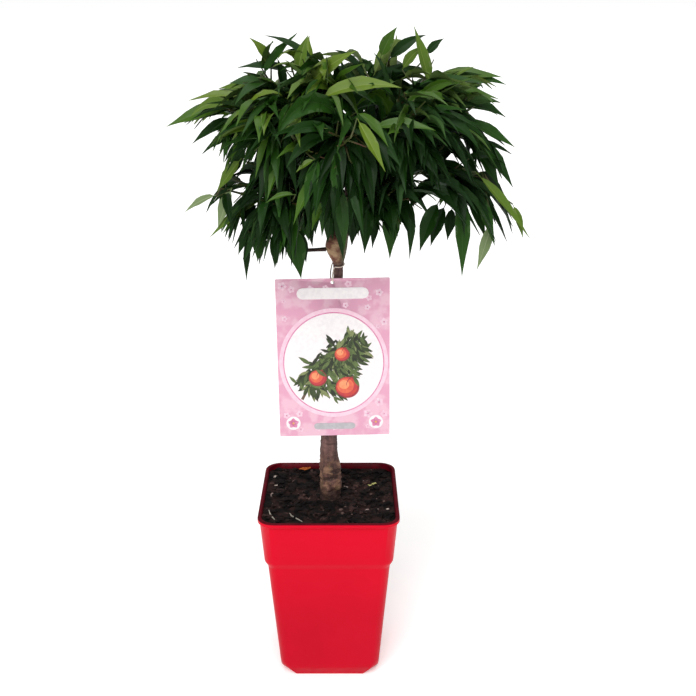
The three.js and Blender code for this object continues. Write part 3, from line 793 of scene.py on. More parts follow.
SOIL_RINGS = 44
SOIL_STEPS = 40
SOIL_SINK = 1.6  # how far its middle lies below the solid's top
SOIL_LUMPS = [(0.045, 4, 1.3), (0.16, 3, 1.1)]  # how fine, how detailed and how high its unevenness is
SOIL_HALF = 70
SOIL_RISES = (2.565, 1.52)  # how far it rises to the pot's wall, on the left and on the right
HOLLOW = (-36, -28, 18, 1.6)  # a dip before the trunk: x, y, reach and depth
CRUMBS = 1150
CRUMB_REACH = 68
CRUMB_SIZE = (0.8, 2.1)
LARGEST_CRUMB = 3.8  # what the few largest ones have over that
CRUMB_KINDS = (0.5, 0.93, 0.995)  # chance below each gives dark crumbs, brown ones and chips, above it grit
CRUMB_LEVELS = (-60, -20, 25, 65)
CRUMB_SIDES = 6
TRUNK_ROOM = 11  # crumbs keep this far from the trunk's middle, fibres further
FIBRE_ROOM = 18
CORNER_ROOM = 60
FOOT_CRUMBS = 110  # heaped against the trunk
FIBRES = 16
FIBRE_REACH = 60
FIBRE_EDGE = 64
FIBRE_STEPS = 6
SCRAP_STEPS = 6
# Scraps that lie on the soil: x, y, length, width, heading in degrees, tilt, and the material slot of crumbs.
SCRAPS = [
    (48, 30, 16, 6, 22, 2, 4),
    (-30, 66, 14, 5, 2, 5, 5),
    (-61, 25, 4.5, 3.6, 60, 1, 3),
    (-64, 1, 6, 3, 80, 3, 6),
    (18, 23, 7, 3, -50, 2, 6),
    (19, 63, 4, 3, 0, 1, 2),
    (41, -30, 4.6, 3.2, 15, 1, 6),
    (55, -30, 5.4, 3.4, -10, 1, 6),
    (63, -31, 3.6, 3.2, 0, 1, 3),
    (46, 6, 4.4, 3.4, 70, 1, 2),
    (-16, -41, 5, 3, 0, 1, 2),
]
# The looks of what lies on it besides crumbs, for the material slots from 2 on: name and two tones.
BITS = [
    ("bark chip", "4a3834", "65524c"),
    ("pale grit", "a3938a", "c6b7ac"),
    ("yellowed scrap", "a5a35c", "c3bd80"),
    ("rusty scrap", "94441c", "b8662a"),
    ("greyish scrap", "7c6a66", "9b8883"),
    ("pale root", "8f8a80", "b5ada0"),
]
# Pale roots that lie on it: their points, x and y.
ROOTS = [
    [(-65, -34), (-63, -42), (-60, -49), (-57, -55)],
    [(-42, -37), (-40, -44), (-36, -47), (-32, -52), (-28, -58)],
]


def soil_height(x, y):
    """The lie of the soil: uneven, a little higher at the pot's wall and with a dip before the trunk."""
    spot = Vector((x, y, 0))
    lumps = sum(noise.fractal(spot * fine, 1.0, 2.0, detail) * high for fine, detail, high in SOIL_LUMPS)
    rise = (max(abs(x), abs(y)) / SOIL_HALF) ** 3 * SOIL_RISES[x >= 0]
    hollow_x, hollow_y, reach, depth = HOLLOW
    hollow = depth * math.exp(-(((x - hollow_x) ** 2 + (y - hollow_y) ** 2) / reach**2))
    return SOIL_TOP - SOIL_SINK + lumps + rise - hollow


def on_soil(x, y, lift=0.0):
    return Vector((x, y, soil_height(x, y) + lift))


def make_soil():
    inset = POT_WALL + CLEARANCE
    edge = inset_ring(body_at(SOIL_TOP), inset, SOIL_STEPS)
    shares = [ring / SOIL_RINGS for ring in range(SOIL_RINGS, 0, -1)]
    top = [[on_soil(point.x * share, point.y * share) for point in edge] for share in shares]
    side = [inset_ring(row, inset, SOIL_STEPS) for row in body_profile(POT_FLOOR + CLEARANCE)[:-1]]
    shape = Shape()
    shape.skin(side + top)
    return shape.piece("soil_bed", [soil_look()], sharp=80)


def crumb(shape, roll, x, y, size, slot, flat):
    """An uneven lump, half sunk in the soil."""
    centre = on_soil(x, y, size * 0.25)
    stretch = Vector((roll(0.7, 1.3), roll(0.7, 1.3), roll(0.5, 1.0) * flat)) * size
    turn = Matrix.Rotation(roll(0, TURN), 3, "Z")
    rings = []
    for level in [math.radians(latitude) for latitude in CRUMB_LEVELS]:
        ring = []
        for k in range(CRUMB_SIDES):
            angle = k * TURN / CRUMB_SIDES + roll(-0.3, 0.3)
            reach = roll(0.75, 1.15)
            flat_out = Vector((math.cos(angle), math.sin(angle), 0)) * math.cos(level)
            ring.append(centre + turn @ ((flat_out + UP * math.sin(level)) * stretch * reach))
        rings.append(ring)
    shape.skin(rings, slot)


def scrap(shape, x, y, length, width, heading, tilt, slot):
    """A curled bit of dead leaf that lies on the soil, one end lifted by the tilt."""
    turn = Matrix.Rotation(math.radians(heading), 3, "Z")
    rings = []
    for share in evenly(0, 1, SCRAP_STEPS):
        half = width / 2 * math.sin(math.pi * min(max(share, 0.06), 0.94)) ** 0.7
        rise = 0.9 + tilt * 0.5 * share * share
        ring = []
        for across, lift in ((1, 0.5), (0, 0), (-1, 0.4), (0, -0.35)):
            off = turn @ Vector(((share - 0.5) * length, across * half, 0))
            ring.append(on_soil(x + off.x, y + off.y, rise + lift))
        rings.append(ring)
    shape.skin(rings, slot)


def strew_crumbs(shape, roll):
    """Crumbs all over the soil but for the pot's corners, and more heaped against the trunk."""
    for _ in range(CRUMBS):
        x, y = roll(-CRUMB_REACH, CRUMB_REACH), roll(-CRUMB_REACH, CRUMB_REACH)
        kind = roll(0, 1)
        size = roll(*CRUMB_SIZE) + LARGEST_CRUMB * roll(0, 1) ** 4
        slot = sum(kind >= share for share in CRUMB_KINDS)
        if math.hypot(x, y) >= TRUNK_ROOM and min(abs(x), abs(y)) <= CORNER_ROOM:
            crumb(shape, roll, x, y, size * (0.5 if slot > 1 else 1), slot, 0.6)
    foot_x, foot_y, _, foot_radius = TRUNK[0]
    for k in range(FOOT_CRUMBS):
        angle, out = k * GOLDEN_ANGLE, roll(0.5, 5)
        x = foot_x + (foot_radius + out) * math.cos(angle)
        y = foot_y + (foot_radius + out) * math.sin(angle)
        crumb(shape, roll, x, y, roll(1.2, 2.6), k % 2, 1.1)


def strew_fibres(shape, roll):
    """Short bent fibres that follow the lie of the soil."""
    for _ in range(FIBRES):
        x, y, heading = roll(-FIBRE_REACH, FIBRE_REACH), roll(-FIBRE_REACH, FIBRE_REACH), roll(0, TURN)
        stride, bend = roll(4, 9) / FIBRE_STEPS, roll(-0.25, 0.25)
        if math.hypot(x, y) < FIBRE_ROOM:
            continue
        line = []
        for _ in range(FIBRE_STEPS):
            x = max(-FIBRE_EDGE, min(FIBRE_EDGE, x + math.cos(heading) * stride))
            y = max(-FIBRE_EDGE, min(FIBRE_EDGE, y + math.sin(heading) * stride))
            heading += bend
            line.append(on_soil(x, y, 0.6))
        tube(shape, line, [0.3] * FIBRE_STEPS, 4, 2)


def make_crumbs():
    shape = Shape()
    roll = dice(7)
    strew_crumbs(shape, roll)
    strew_fibres(shape, roll)
    for root in ROOTS:
        radii = [0.45 + 0.35 * math.sin(math.pi * i / (len(root) - 1)) for i in range(len(root))]
        tube(shape, [on_soil(x, y, 1.3) for x, y in root], radii, 6, 7)
    for row in SCRAPS:
        scrap(shape, *row)
    looks = [crumb_look("dark crumb", "1a0f0e", "33221f"), crumb_look("brown crumb", "2e1e1b", "5c423d")]
    looks += [two_tone(name, "bit", *tones) for name, *tones in BITS]
    return shape.piece("soil_crumbs", looks, sharp=55)


# ---------------------------------------------------------------- trunk and boughs

BARK_SIDES = 56
BARK_STEP = 1.6
BURIED = 5  # how deep the trunk reaches into the soil
RIDGE_SCALE = 0.22
RIDGE_HEIGHT = 0.5
WRINKLE_SCALE = 2.1
WRINKLE_HEIGHT = 1.5
WRINKLED = 225  # the height up to which its foot is wrinkled, and how far that takes to fade
WRINKLED_FADE = 40
KNOT_DENT = 0.25
BOUGH_FLARE = 0.3  # how much thicker a bough's foot is where it leaves the trunk
# Scars and knots on the bark: height, direction in degrees (270 faces the front), width and rise.
KNOTS = [
    (201, 250, 7, 1.5),
    (207, 320, 6, 1.3),
    (214, 285, 8, 1.6),
    (221, 235, 6, 1.2),
    (226, 310, 7, 1.3),
    (243, 265, 5, 0.9),
    (254, 300, 5, 0.8),
    (472, 300, 8, 1.1),
    (480, 235, 9, 1.3),
    (486, 275, 7, 1.0),
    (215, 110, 8, 1.6),
    (477, 90, 9, 1.4),
]
# Lopped shoots: x, y, z, radius, heading and length.
LOPPED = [(16, -7, 507, 3.4, (0.1, -0.9, 0.5), 3.5), (-2, -2, 474.5, 1.8, (-1, -0.12, -0.02), 25)]
# Pale cuts where shoots came away: x, y, z, half width, half height and slant.
CUTS = [(17.5, -9.6, 527, 1.7, 5.2, 0.5), (13, -9.4, 505, 1.5, 1.7, 0), (22, -9.8, 504, 1.4, 1.6, 0)]


def section_at(z):
    """The trunk's centre and radius at a height, straight between its sections as the solid has them."""
    upper = max(1, next((i for i, row in enumerate(TRUNK) if row[2] >= z), len(TRUNK) - 1))
    low, high = TRUNK[upper - 1], TRUNK[upper]
    share = (z - low[2]) / (high[2] - low[2])
    x, y, _, radius = [a + (b - a) * share for a, b in zip(low, high)]
    return Vector((x, y, z)), radius


def smooth_section(z, reach=3.0):
    """The same with its bends eased."""
    low, high = TRUNK[0][2], TRUNK[-1][2]
    spots = [min(high, max(low, z + reach * k)) for k in (-1, -0.5, 0, 0.5, 1)]
    found = [section_at(spot) for spot in spots]
    centre = sum((at for at, _ in found), Vector((0, 0, 0))) / len(found)
    return Vector((centre.x, centre.y, z)), sum(radius for _, radius in found) / len(found)


def bark_radius(radius, angle, z):
    """The bark's relief: wrinkles low on the trunk, fine ridges above and knots where shoots once were."""
    around = Vector((math.cos(angle), math.sin(angle), 0))
    ridges = noise.fractal((around * 9 + UP * z) * RIDGE_SCALE, 1.0, 2.0, 4)
    wrinkles = noise.noise(Vector((around.x, around.y, z * 0.2)) * WRINKLE_SCALE)
    low = 1 - min(1, max(0, (z - WRINKLED) / WRINKLED_FADE))
    relief = ridges * RIDGE_HEIGHT * (0.5 + 0.5 * low) + wrinkles * WRINKLE_HEIGHT * (0.25 + 0.75 * low)
    for height, degrees, width, rise in KNOTS:
        off = (angle - math.radians(degrees) + math.pi) % TURN - math.pi
        away = math.hypot(off * radius, z - height) / width
        if away < 1:
            dent = 0.5 * math.exp(-((away / KNOT_DENT) ** 2))
            relief += rise * ((math.cos(math.pi * away) + 1) / 2 - dent)
    return radius + relief


def make_trunk(shape):
    low, high = TRUNK[0][2] - BURIED, TRUNK[-1][2]
    rings = []
    for z in evenly(low, high, int((high - low) / BARK_STEP)):
        centre, radius = smooth_section(z)
        ring = []
        for k in range(BARK_SIDES):
            angle = k * TURN / BARK_SIDES
            reach = bark_radius(radius, angle, z)
            ring.append((centre.x + reach * math.cos(angle), centre.y + reach * math.sin(angle), z))
        rings.append(ring)
    shape.skin(rings)


# ---------------------------------------------------------------- growth


class Bow:
    """A curve from its start to its end that leans towards its knee."""

    def __init__(self, start, knee, end):
        self.start = start
        self.knee = knee
        self.end = end

    def point(self, t):
        return self.start * (1 - t) ** 2 + self.knee * (2 * t * (1 - t)) + self.end * t**2

    def along(self, t):
        return ((self.knee - self.start) * (1 - t) + (self.end - self.knee) * t).normalized()

    def draw(self, shape, radii, sides, span=(0, 1), wobble=0.0):
        """A limb along it, between two shares of its length, with those radii at even steps."""
        line = [self.point(t) for t in evenly(*span, len(radii) - 1)]
        tube(shape, line, radii, sides, wobble=wobble)


class Mass(Bow):
    """A bough and its mass of foliage, with the curve that both follow."""

    def __init__(self, name, foot, tip, arch, hang):
        start, radius = section_at(foot)
        end = Vector(tip)
        crest = start.lerp(end, CREST)
        crest.z = max(start.z, end.z) + arch
        super().__init__(start, crest, end)
        self.name = name
        self.hang = hang
        self.foot_radius = radius * BOUGH_FOOT_SHARE
        self.middle = self.point(SPACE_SHARE) - UP * SPACE_DROP * hang

    def outward(self, point):
        return (point - self.start).to_2d().to_3d().normalized()


masses = [Mass(*row) for row in MASSES]


class Twig(Bow):
    """A bent shoot that leaves its stem at an angle and then turns up, or down where its mass hangs."""

    def __init__(self, mass, stem, t, turn, length, radius):
        trend, start = stem.along(t), stem.point(t)
        heading = trend * math.cos(TWIG_SPREAD) + square(trend, turn) * math.sin(TWIG_SPREAD)
        heading = (heading + mass.outward(start) * OUTWARD * mass.hang).normalized()
        bent = (heading + UP * (TWIG_RISE - TWIG_DROP * mass.hang)).normalized()
        knee = start + heading * (length / 2)
        super().__init__(start, knee, knee + bent * (length / 2))
        self.turn = turn
        self.radii = evenly(radius, radius * TWIG_TAPER, 5)


def grow_twig(mass, roll, k):
    """A twig of a mass's stem."""
    share = (k + 0.7) / TWIG_COUNT
    turn = k * GOLDEN_ANGLE + roll(-TWIG_TURN, TWIG_TURN)
    length = TWIG_LENGTH * (1.1 - TWIG_FALL_OFF * share) * roll(*LENGTH_SPREAD)
    return Twig(mass, mass, ENTER + (1 - ENTER) * share, turn, length, TWIG_RADIUS)


def grow_side(mass, roll, twig):
    """A finer shoot from a twig, by the same rule."""
    length = SIDE_TWIG_LENGTH * roll(*LENGTH_SPREAD)
    return Twig(mass, twig, SIDE_TWIG_AT, twig.turn + 2 * GOLDEN_ANGLE, length, SIDE_TWIG_RADIUS)


def walls_of(mass):
    """The walls halfway to the other masses: a point on each and its normal away from this mass."""
    others = [other for other in masses if other is not mass]
    points = np.array([mass.middle.lerp(other.middle, 0.5) for other in others])
    normals = np.array([(other.middle - mass.middle).normalized() for other in others])
    return points, normals


def in_crown(points):
    """Whether all the points stand a little inside the crown's outline, and before none of its gaps."""
    x, y, z = points.T
    heights, lefts, rights = CROWN_EDGE.T
    middles, rises, half_widths = PARTINGS.T
    partings = rises * np.exp(-(((x[:, None] - middles) / half_widths) ** 2))
    skirt = heights[0] + SKIRT_INSET + partings.max(1) + SKIRT_TILT * np.maximum(0, -y)
    left = np.interp(z, heights, lefts) + EDGE_INSET
    right = np.interp(z, heights, rights) - EDGE_INSET
    reach = np.where(x > CROWN_X, right - CROWN_X, CROWN_X - left)
    depth = CROWN_DEPTH * (right - left) / 2
    saddle = SADDLE_FALL * np.exp(-(((x - SADDLE_X) / SADDLE_HALF_WIDTH) ** 2))
    top = heights[-1] - np.maximum(EDGE_INSET, saddle)
    inside = (z > skirt) & (z < top) & (((x - CROWN_X) / reach) ** 2 + (y / depth) ** 2 < 1)
    if not inside.all():
        return False
    eye = np.array(CAMERA_PLACE) / MM
    seen = eye + (points - eye) * (-eye[1] / (y - eye[1]))[:, None]
    off = np.hypot(seen[:, None, 0] - GAPS[None, :, 0], seen[:, None, 2] - GAPS[None, :, 1])
    return bool((off > GAPS[None, :, 2]).all())


def in_space(walls, points, slack):
    """Whether all the points keep to the crown and, but for the slack, to their mass's own space."""
    if not in_crown(points):
        return False
    spots, normals = walls
    past = ((points[:, None, :] - spots[None]) * normals[None]).sum(-1)
    return bool((past < slack).all())


def limb_segments():
    """The trunk and boughs as straight lengths with a radius at each end."""
    lines = [[(Vector(row[:3]), row[3]) for row in TRUNK]]
    for mass in masses:
        radii = evenly(mass.foot_radius, BOUGH_TIP_RADIUS, 4)
        lines.append([(mass.point(t), radius) for t, radius in zip(evenly(0, ENTER, 4), radii)])
    pairs = [pair for line in lines for pair in zip(line, line[1:])]
    starts = np.array([a[0] for a, _ in pairs])
    ways = np.array([b[0] - a[0] for a, b in pairs])
    radii = np.array([max(a[1], b[1]) for a, b in pairs])
    return starts, ways, radii


def air_to(limbs, points):
    """The least air between the points and the limbs."""
    starts, ways, radii = limbs
    off = points[:, None, :] - starts[None]
    share = np.clip((off * ways).sum(-1) / (ways * ways).sum(-1), 0, 1)
    gap = np.linalg.norm(off - share[..., None] * ways, axis=-1) - radii
    return gap.min()


# ---------------------------------------------------------------- leaves

STALK_SHARE = 0.09
STALK_WIDTH = 0.07


def leaf_outline(share):
    """A leaf's half width along it, as a share of its widest: a short stalk, a long blade and a fine tip."""
    if share <= STALK_SHARE:
        return STALK_WIDTH
    s = (share - STALK_SHARE) / (1 - STALK_SHARE)
    body = math.sin(math.pi * s**0.72) ** 0.9
    drawn = 1 - 0.6 * max(0, (s - 0.5) / 0.5) ** 1.1
    return max(0.0, STALK_WIDTH * (1 - s) + 0.97 * body * drawn)


STATIONS = [0, STALK_SHARE, 0.16, 0.27, 0.4, 0.54, 0.68, 0.8, 0.91, 1]
WIDTHS = np.array([leaf_outline(s) for s in STATIONS[:-1]] + [0.0])
# Round a leaf, from its right edge over the blade to its left edge and back beneath: how far across, as a
# share of the half width, or of the rib's where that stands second, how much of the edges' rise it has, and
# how far beneath it is.
RIM = [
    (1, 0, 1, 0),
    (0.5, 0, 0.55, 0),
    (0, 1, 0, 0),
    (0, -1, 0, 0),
    (-0.5, 0, 0.55, 0),
    (-1, 0, 1, 0),
    (-0.5, 0, 0.55, 1),
    (0, -1, 0, 2),
    (0, 1, 0, 2),
    (0.5, 0, 0.55, 1),
]
# The faces between them: 0 the blade, 1 the rib, 2 the underside.
RIM_SLOTS = [0, 0, 1, 0, 0, 2, 2, 1, 2, 2]
RIM_ACROSS = [1, 0.75, 0.5, 0.5, 0.25, 0, 0.25, 0.5, 0.5, 0.75]
AROUND = len(RIM)
WAVES = 2.6  # along a leaf's edges
WAVE_HEIGHT = 0.09


def unit(vector):
    return vector / np.linalg.norm(vector)


def leaf_points(root, heading, facing, length, half_width, habit):
    """A leaf's rings. Its habit: how it droops, bends aside, twists and folds, and where its waves stand."""
    droop, bend, twist, fold, ripple = habit
    heading, up = np.array(heading), np.array(UP)
    side = unit(np.cross(heading, np.array(facing)))
    lean = droop * up - bend * side
    middle = np.array(root)
    rings = []
    before = 0.0
    for s, share in zip(STATIONS, WIDTHS):
        middle = middle + unit(heading - lean * (before + s) / 2) * (s - before) * length
        along = unit(heading - lean * s)
        side = unit(side - along * side.dot(along))
        face = np.cross(side, along)
        across = side * math.cos(twist * s) + face * math.sin(twist * s)
        above = face * math.cos(twist * s) - side * math.sin(twist * s)
        half = share * half_width
        wide, rise = half * math.cos(fold), half * math.sin(fold * (1 - 0.45 * s))
        rib = min(RIB_HALF_WIDTH * (1 - 0.7 * s), 0.4 * half)
        thick = LEAF_THICKNESS * (share > 0)
        wave = WAVE_HEIGHT * half * math.sin(TURN * (WAVES * s + ripple))
        ring = []
        for out, ribwise, lift, depth in RIM:
            x = out * wide + ribwise * rib
            z = lift * rise + (wave * out if abs(out) == 1 else 0) - depth * thick
            ring.append(middle + across * x + above * z)
        rings.append(ring)
        before = s
    return np.array(rings)


def leaves_piece(name, leaves, looks):
    """The leaves of one shade as one piece, with its map over each blade."""
    faces, slots, places = [], [], []
    for first in range(0, len(leaves) * len(STATIONS) * AROUND, len(STATIONS) * AROUND):
        for band, span in enumerate(zip(STATIONS, STATIONS[1:])):
            low = first + band * AROUND
            high = low + AROUND
            for i in range(AROUND):
                j = (i + 1) % AROUND
                faces.append((low + j, low + i, high + i, high + j))
                slots.append(RIM_SLOTS[i])
                for at, row in ((j, 0), (i, 0), (i, 1), (j, 1)):
                    places += [RIM_ACROSS[at], span[row]]
    points = np.concatenate([rings.reshape(-1, 3) for rings in leaves])
    made = add_piece(name, points, faces, slots, looks, 60)
    made.data.uv_layers.new(name="blade").data.foreach_set("uv", places)
    return made


# From the freshest to the most shaded, and some turned over: colours of blade, rib and underside, and sheen.
# The darker shades are partly painted shade, and the lighter ones partly painted light.
SHADES = {
    "fresh": ("5e761f", "74873b", "687b3a", 0.3),
    "light": ("516c1d", "657a34", "5e7237", 0.25),
    "bright": ("3d5e16", "4b682b", "4e6730", 0.2),
    "green": ("22460f", "2f4d20", "385529", 0.16),
    "dark": ("17350c", "213c1a", "2a4522", 0.13),
    "deep": ("102709", "172c13", "1f371b", 0.1),
    "pale": ("74865c", "8d9a74", "74865c", 0.2),
}
# The roughness and relief of each side of a leaf.
LEAF_SIDES = {"leaf": (0.42, -0.5), "rib": (0.5, 0.1), "underside": (0.6, 0.6)}
# The least youth and painted light of each shade that grown leaves have; those with less are deep.
LEAST_YOUTH_AND_LIGHT = {"fresh": 0.68, "light": 0.54, "bright": 0.4, "green": 0.24, "dark": 0.08}
DARKEST = 0.31  # how far up the crown its leaves are darkest, as a share of its height
DARKEST_LIGHT = -0.16
HEIGHT_LIGHT = 2.25  # how fast painted light grows above and below there, up to its most at the top
TOP_LIGHT = 0.35
LEFT_LIGHT = 0.33  # painted light that the furthest leaves have over the middle ones, to each side
RIGHT_LIGHT = 0.02
FURTHEST = 150
SHARE_YOUTH = 0.14  # what the last leaf of a shoot has over the first
CHANCE_TONE = 0.22
# What chance gives a leaf: its turn round its shoot, its angle to it and its roll about its own length, and
# then its length, droop, bend, twist and fold.
LEAF_TURN = (-0.5, 0.5)
LEAF_ANGLE = (-0.25, 0.25)
LEAF_ROLL = (-0.8, 0.8)
LEAF_LENGTHS = (0.62, 1.18)
LEAF_DROOP = (0.4, 1.5)
LEAF_BEND = (-0.35, 0.35)
LEAF_TWIST = (-0.5, 0.5)
LEAF_FOLD = (0.35, 0.75)


def grow_leaf(mass, roll, point, along, share, turn, size):
    """A leaf leaves its twig at an angle and faces the sky and the outside of the crown."""
    angle = 1.15 - 0.6 * share + roll(*LEAF_ANGLE)
    out = square(along, turn + roll(*LEAF_TURN))
    heading = along * math.cos(angle) + out * math.sin(angle)
    length = LEAF_LENGTH * roll(*LEAF_LENGTHS) * size
    droop = mass.hang * roll(*LEAF_DROOP)
    outward = mass.outward(point)
    heading = (heading + outward * OUTWARD * mass.hang).normalized()
    facing = Matrix.Rotation(roll(*LEAF_ROLL), 3, heading) @ (UP + outward * 0.8 + along * 0.4)
    habit = (droop, roll(*LEAF_BEND), roll(*LEAF_TWIST), roll(*LEAF_FOLD), roll(0, 1))
    half_width = max(LEAF_HALF_WIDTH * length, LEAST_HALF_WIDTH)
    return leaf_points(point, heading, facing, length, half_width, habit)


def lead_leaf(roll, root, tip, half_width):
    """A leaf from its root to the place of its tip, aimed again until its bent blade comes out there."""
    root, tip = Vector(root), Vector(tip)
    facing = UP - Vector((0, LEADING_FACE, 0)) + Vector((0, 0, roll(-0.3, 0.3)))
    habit = (roll(0.3, 0.8), roll(-0.25, 0.25), roll(-0.4, 0.4), roll(0.3, 0.6), roll(0, 1))
    aim = tip.copy()
    for _ in range(LEADING_TRIES):
        way = aim - root
        rings = leaf_points(root, way.normalized(), facing, way.length, half_width, habit)
        aim += tip - Vector(rings[-1].mean(0))
    return rings


def shade_of(roll, point, share):
    """Which shade a leaf has: fresh at the shoots' ends and lighter at the top and sides, partly painted
    light.
    """
    height = (point.z - CROWN_EDGE[0][0]) / (CROWN_EDGE[-1][0] - CROWN_EDGE[0][0])
    aside = (CROWN_X - point.x) / FURTHEST
    # Painted light and shade: leaves are lighter towards the top and to the sides, darkest a third of the way
    # up.
    youth_and_light = min(TOP_LIGHT, HEIGHT_LIGHT * (height - DARKEST) ** 2 + DARKEST_LIGHT)
    youth_and_light += max(LEFT_LIGHT * aside, -RIGHT_LIGHT * aside) + SHARE_YOUTH * share
    youth_and_light += roll(-CHANCE_TONE, CHANCE_TONE)
    return next((shade for shade, least in LEAST_YOUTH_AND_LIGHT.items() if youth_and_light > least), "deep")


def grow_mass(mass, seed, limbs, shoots, foliage):
    """A mass's stem, twigs, side shoots and leaves, and the leading leaves on shoots of their own."""
    roll = dice(seed)
    walls = walls_of(mass)
    mass.draw(shoots, evenly(BOUGH_TIP_RADIUS, STEM_TIP_RADIUS, 8), 8, (ENTER, 1), 0.1)
    twigs = [grow_twig(mass, roll, k) for k in range(TWIG_COUNT)]
    twigs = [twig for twig in twigs if in_space(walls, np.array([twig.point(0.5), twig.end]), WALL_SLACK)]

    def add_leaf(stem, t, share, turn, size=1.0, shade=0.0, slack=WALL_SLACK):
        """A leaf that keeps to its space, turned on along its stem until one does."""
        point, along = stem.point(t), stem.along(t)
        for n in range(LEAF_TRIES):
            rings = grow_leaf(mass, roll, point, along, share, turn + n * GOLDEN_ANGLE, size)
            edges, middles = rings[2:-1, (0, 5)].reshape(-1, 3), rings[:, 2]
            whole = np.concatenate([edges, middles])
            if in_space(walls, whole, slack) and air_to(limbs, middles[3:]) > LEAF_AIR:
                foliage[shade_of(roll, Vector(middles[4]), share - shade)].append(rings)
                return

    def add_twig(twig, count, size=1.0):
        twig.draw(shoots, twig.radii, 6)
        for n in range(count):
            share = (n + 1) / count
            add_leaf(twig, share, share, twig.turn + n * GOLDEN_ANGLE, size)

    for twig in twigs:
        add_twig(twig, TWIG_NODES)
        side = grow_side(mass, roll, twig)
        if in_space(walls, np.array([side.end]), WALL_SLACK):
            add_twig(side, SIDE_NODES, SIDE_LEAF_SIZE)
    for n in range(TUFT_NODES):
        share = (n + 1) / TUFT_NODES
        add_leaf(mass, 1 - (1 - ENTER) * TUFT_SHARE * (1 - share), share, n * GOLDEN_ANGLE)
    for n in range(INNER_NODES):
        t = INNER_START + (INNER_END - INNER_START) * n / INNER_NODES
        add_leaf(mass, t, 0.5, n * GOLDEN_ANGLE, INNER_SIZE, INNER_SHADE / SHARE_YOUTH, INNER_SLACK)

    wood = [mass.point(t) for t in evenly(ENTER, 1, 8)[2:]]
    wood += [twig.point(t) for twig in twigs for t in (0.5, 0.75, 1)]
    for root, tip, half_width, shade in LEADING.get(mass.name, []):
        foliage[shade].append(lead_leaf(roll, root, tip, half_width))
        root = Vector(root)
        start = min(wood, key=lambda point: (point - root).length)
        knee = start.lerp(root, 0.5) - UP * (root - start).length * SHOOT_SAG
        Bow(start, knee, root).draw(shoots, evenly(*SHOOT_RADII, 6), 6)


def make_bark():
    """The trunk, its boughs, the lopped shoots and the pale cuts, which overlap as one piece."""
    shape = Shape()
    make_trunk(shape)
    for mass in masses:
        flares = [1 + BOUGH_FLARE * math.exp(-9 * share) for share in evenly(0, 1, 16)]
        radii = [a * b for a, b in zip(evenly(mass.foot_radius, BOUGH_TIP_RADIUS, 16), flares)]
        mass.draw(shape, radii, 14, (0, ENTER), 0.16)
    for x, y, z, radius, heading, length in LOPPED:
        way = Vector(heading).normalized()
        line = [Vector((x, y, z)) + way * length * share for share in (0, 0.4, 0.8, 0.95, 1)]
        tube(shape, line, [radius * k for k in (1.25, 1.05, 1, 0.9, 0.6)], 12, 2, wobble=0.2)
    for x, y, z, wide, high, slant in CUTS:
        rings = []
        for depth, share in ((3, 1), (0, 1), (-0.7, 0.7)):
            rim = disc(0, 0, wide * share, 12, high / wide)
            rings.append([(x + across + slant * up / 2, y + depth, z + up) for across, up in rim])
        shape.skin(rings, 1)
    wood = two_tone("bare wood", "wood", "cdbcab", "8d7563", "c0ae9c")
    stub = two_tone("dry stub", "stub", "231514", "4a3631", "37241f")
    return shape.piece("bark", [bark_look(), wood, stub], sharp=70)


# ---------------------------------------------------------------- card

PRINT_LIFT = 0.12  # each layer of the card's picture stands this far before the last


def on_card(x, z, layer):
    """A point on the card's front: across from its middle, up from its lower edge, and the layer of print."""
    local = Vector((x, -CARD_THICKNESS - PRINT_LIFT * layer, z - CARD_HEIGHT))
    turned = Matrix.Rotation(CARD_TURN, 3, "Z") @ Matrix.Rotation(-CARD_TILT, 3, "Y") @ local
    return Vector((CARD_X, CARD_BACK, CARD_TOP)) + turned


def through_card(outline, *depths):
    """The same outline at some depths behind the card's front."""
    return [[on_card(x, z, 0) + Vector((0, depth, 0)) for x, z in outline] for depth in depths]


def printed(shape, outline, layer, colour):
    """A flat printed form with a thin edge."""
    front = [on_card(x, z, layer) for x, z in outline]
    back = [on_card(x, z, 0) for x, z in outline]
    shape.skin([back, front], PRINTS.index(colour))


def petal(x, z, length, width, heading, count=8):
    """A leaf or petal outline from its foot, pointed at both ends."""
    right = [(share * length, width / 2 * math.sin(math.pi * share)) for share in evenly(0, 1, count)]
    left = [(along, -across) for along, across in right[-2:0:-1]]
    c, s = math.cos(heading), math.sin(heading)
    return [(x + a * c - b * s, z + a * s + b * c) for a, b in right + left]


def arc(x, z, radius, start, sweep):
    """Points round a middle from a direction, in degrees, and over that sweep."""
    angles = [math.radians(start + sweep * k / 6) for k in range(7)]
    return [(x + radius * math.cos(angle), z + radius * math.sin(angle)) for angle in angles]


def make_card():
    """The sheet of the card with its hole."""
    right, high = CARD_WIDTH / 2 - CARD_CORNER, CARD_HEIGHT - CARD_CORNER
    corners = [(right, CARD_CORNER, -90), (right, high, 0), (-right, high, 90), (-right, CARD_CORNER, 180)]
    outline = [spot for x, z, start in corners for spot in arc(x, z, CARD_CORNER, start, 90)]
    shape = Shape()
    shape.skin(through_card(outline, CARD_THICKNESS, 0))
    shape.slots[-2] = 1
    front = two_tone("pink card", "card", "dd9fb8", "e5b7c8", "f0b3cf")
    back = two_tone("plain card", "card back", "f4eff1", "eee7ea", "f3eef0")
    card = shape.piece("card_sheet", [front, back], sharp=30)
    hole = Shape()
    ring = disc(CARD_HOLE_X - CARD_X, CARD_HEIGHT - CARD_HOLE_DROP, CARD_HOLE_RADIUS)
    hole.skin(through_card(ring, 5, -5))
    cut_through(card, hole.piece("hole", []))
    return card


def bar(x, z, width, height):
    """A level strip with round ends."""
    half = height / 2
    reach = width / 2 - half
    return arc(x + reach, z, half, -90, 180) + arc(x - reach, z, half, 90, 180)


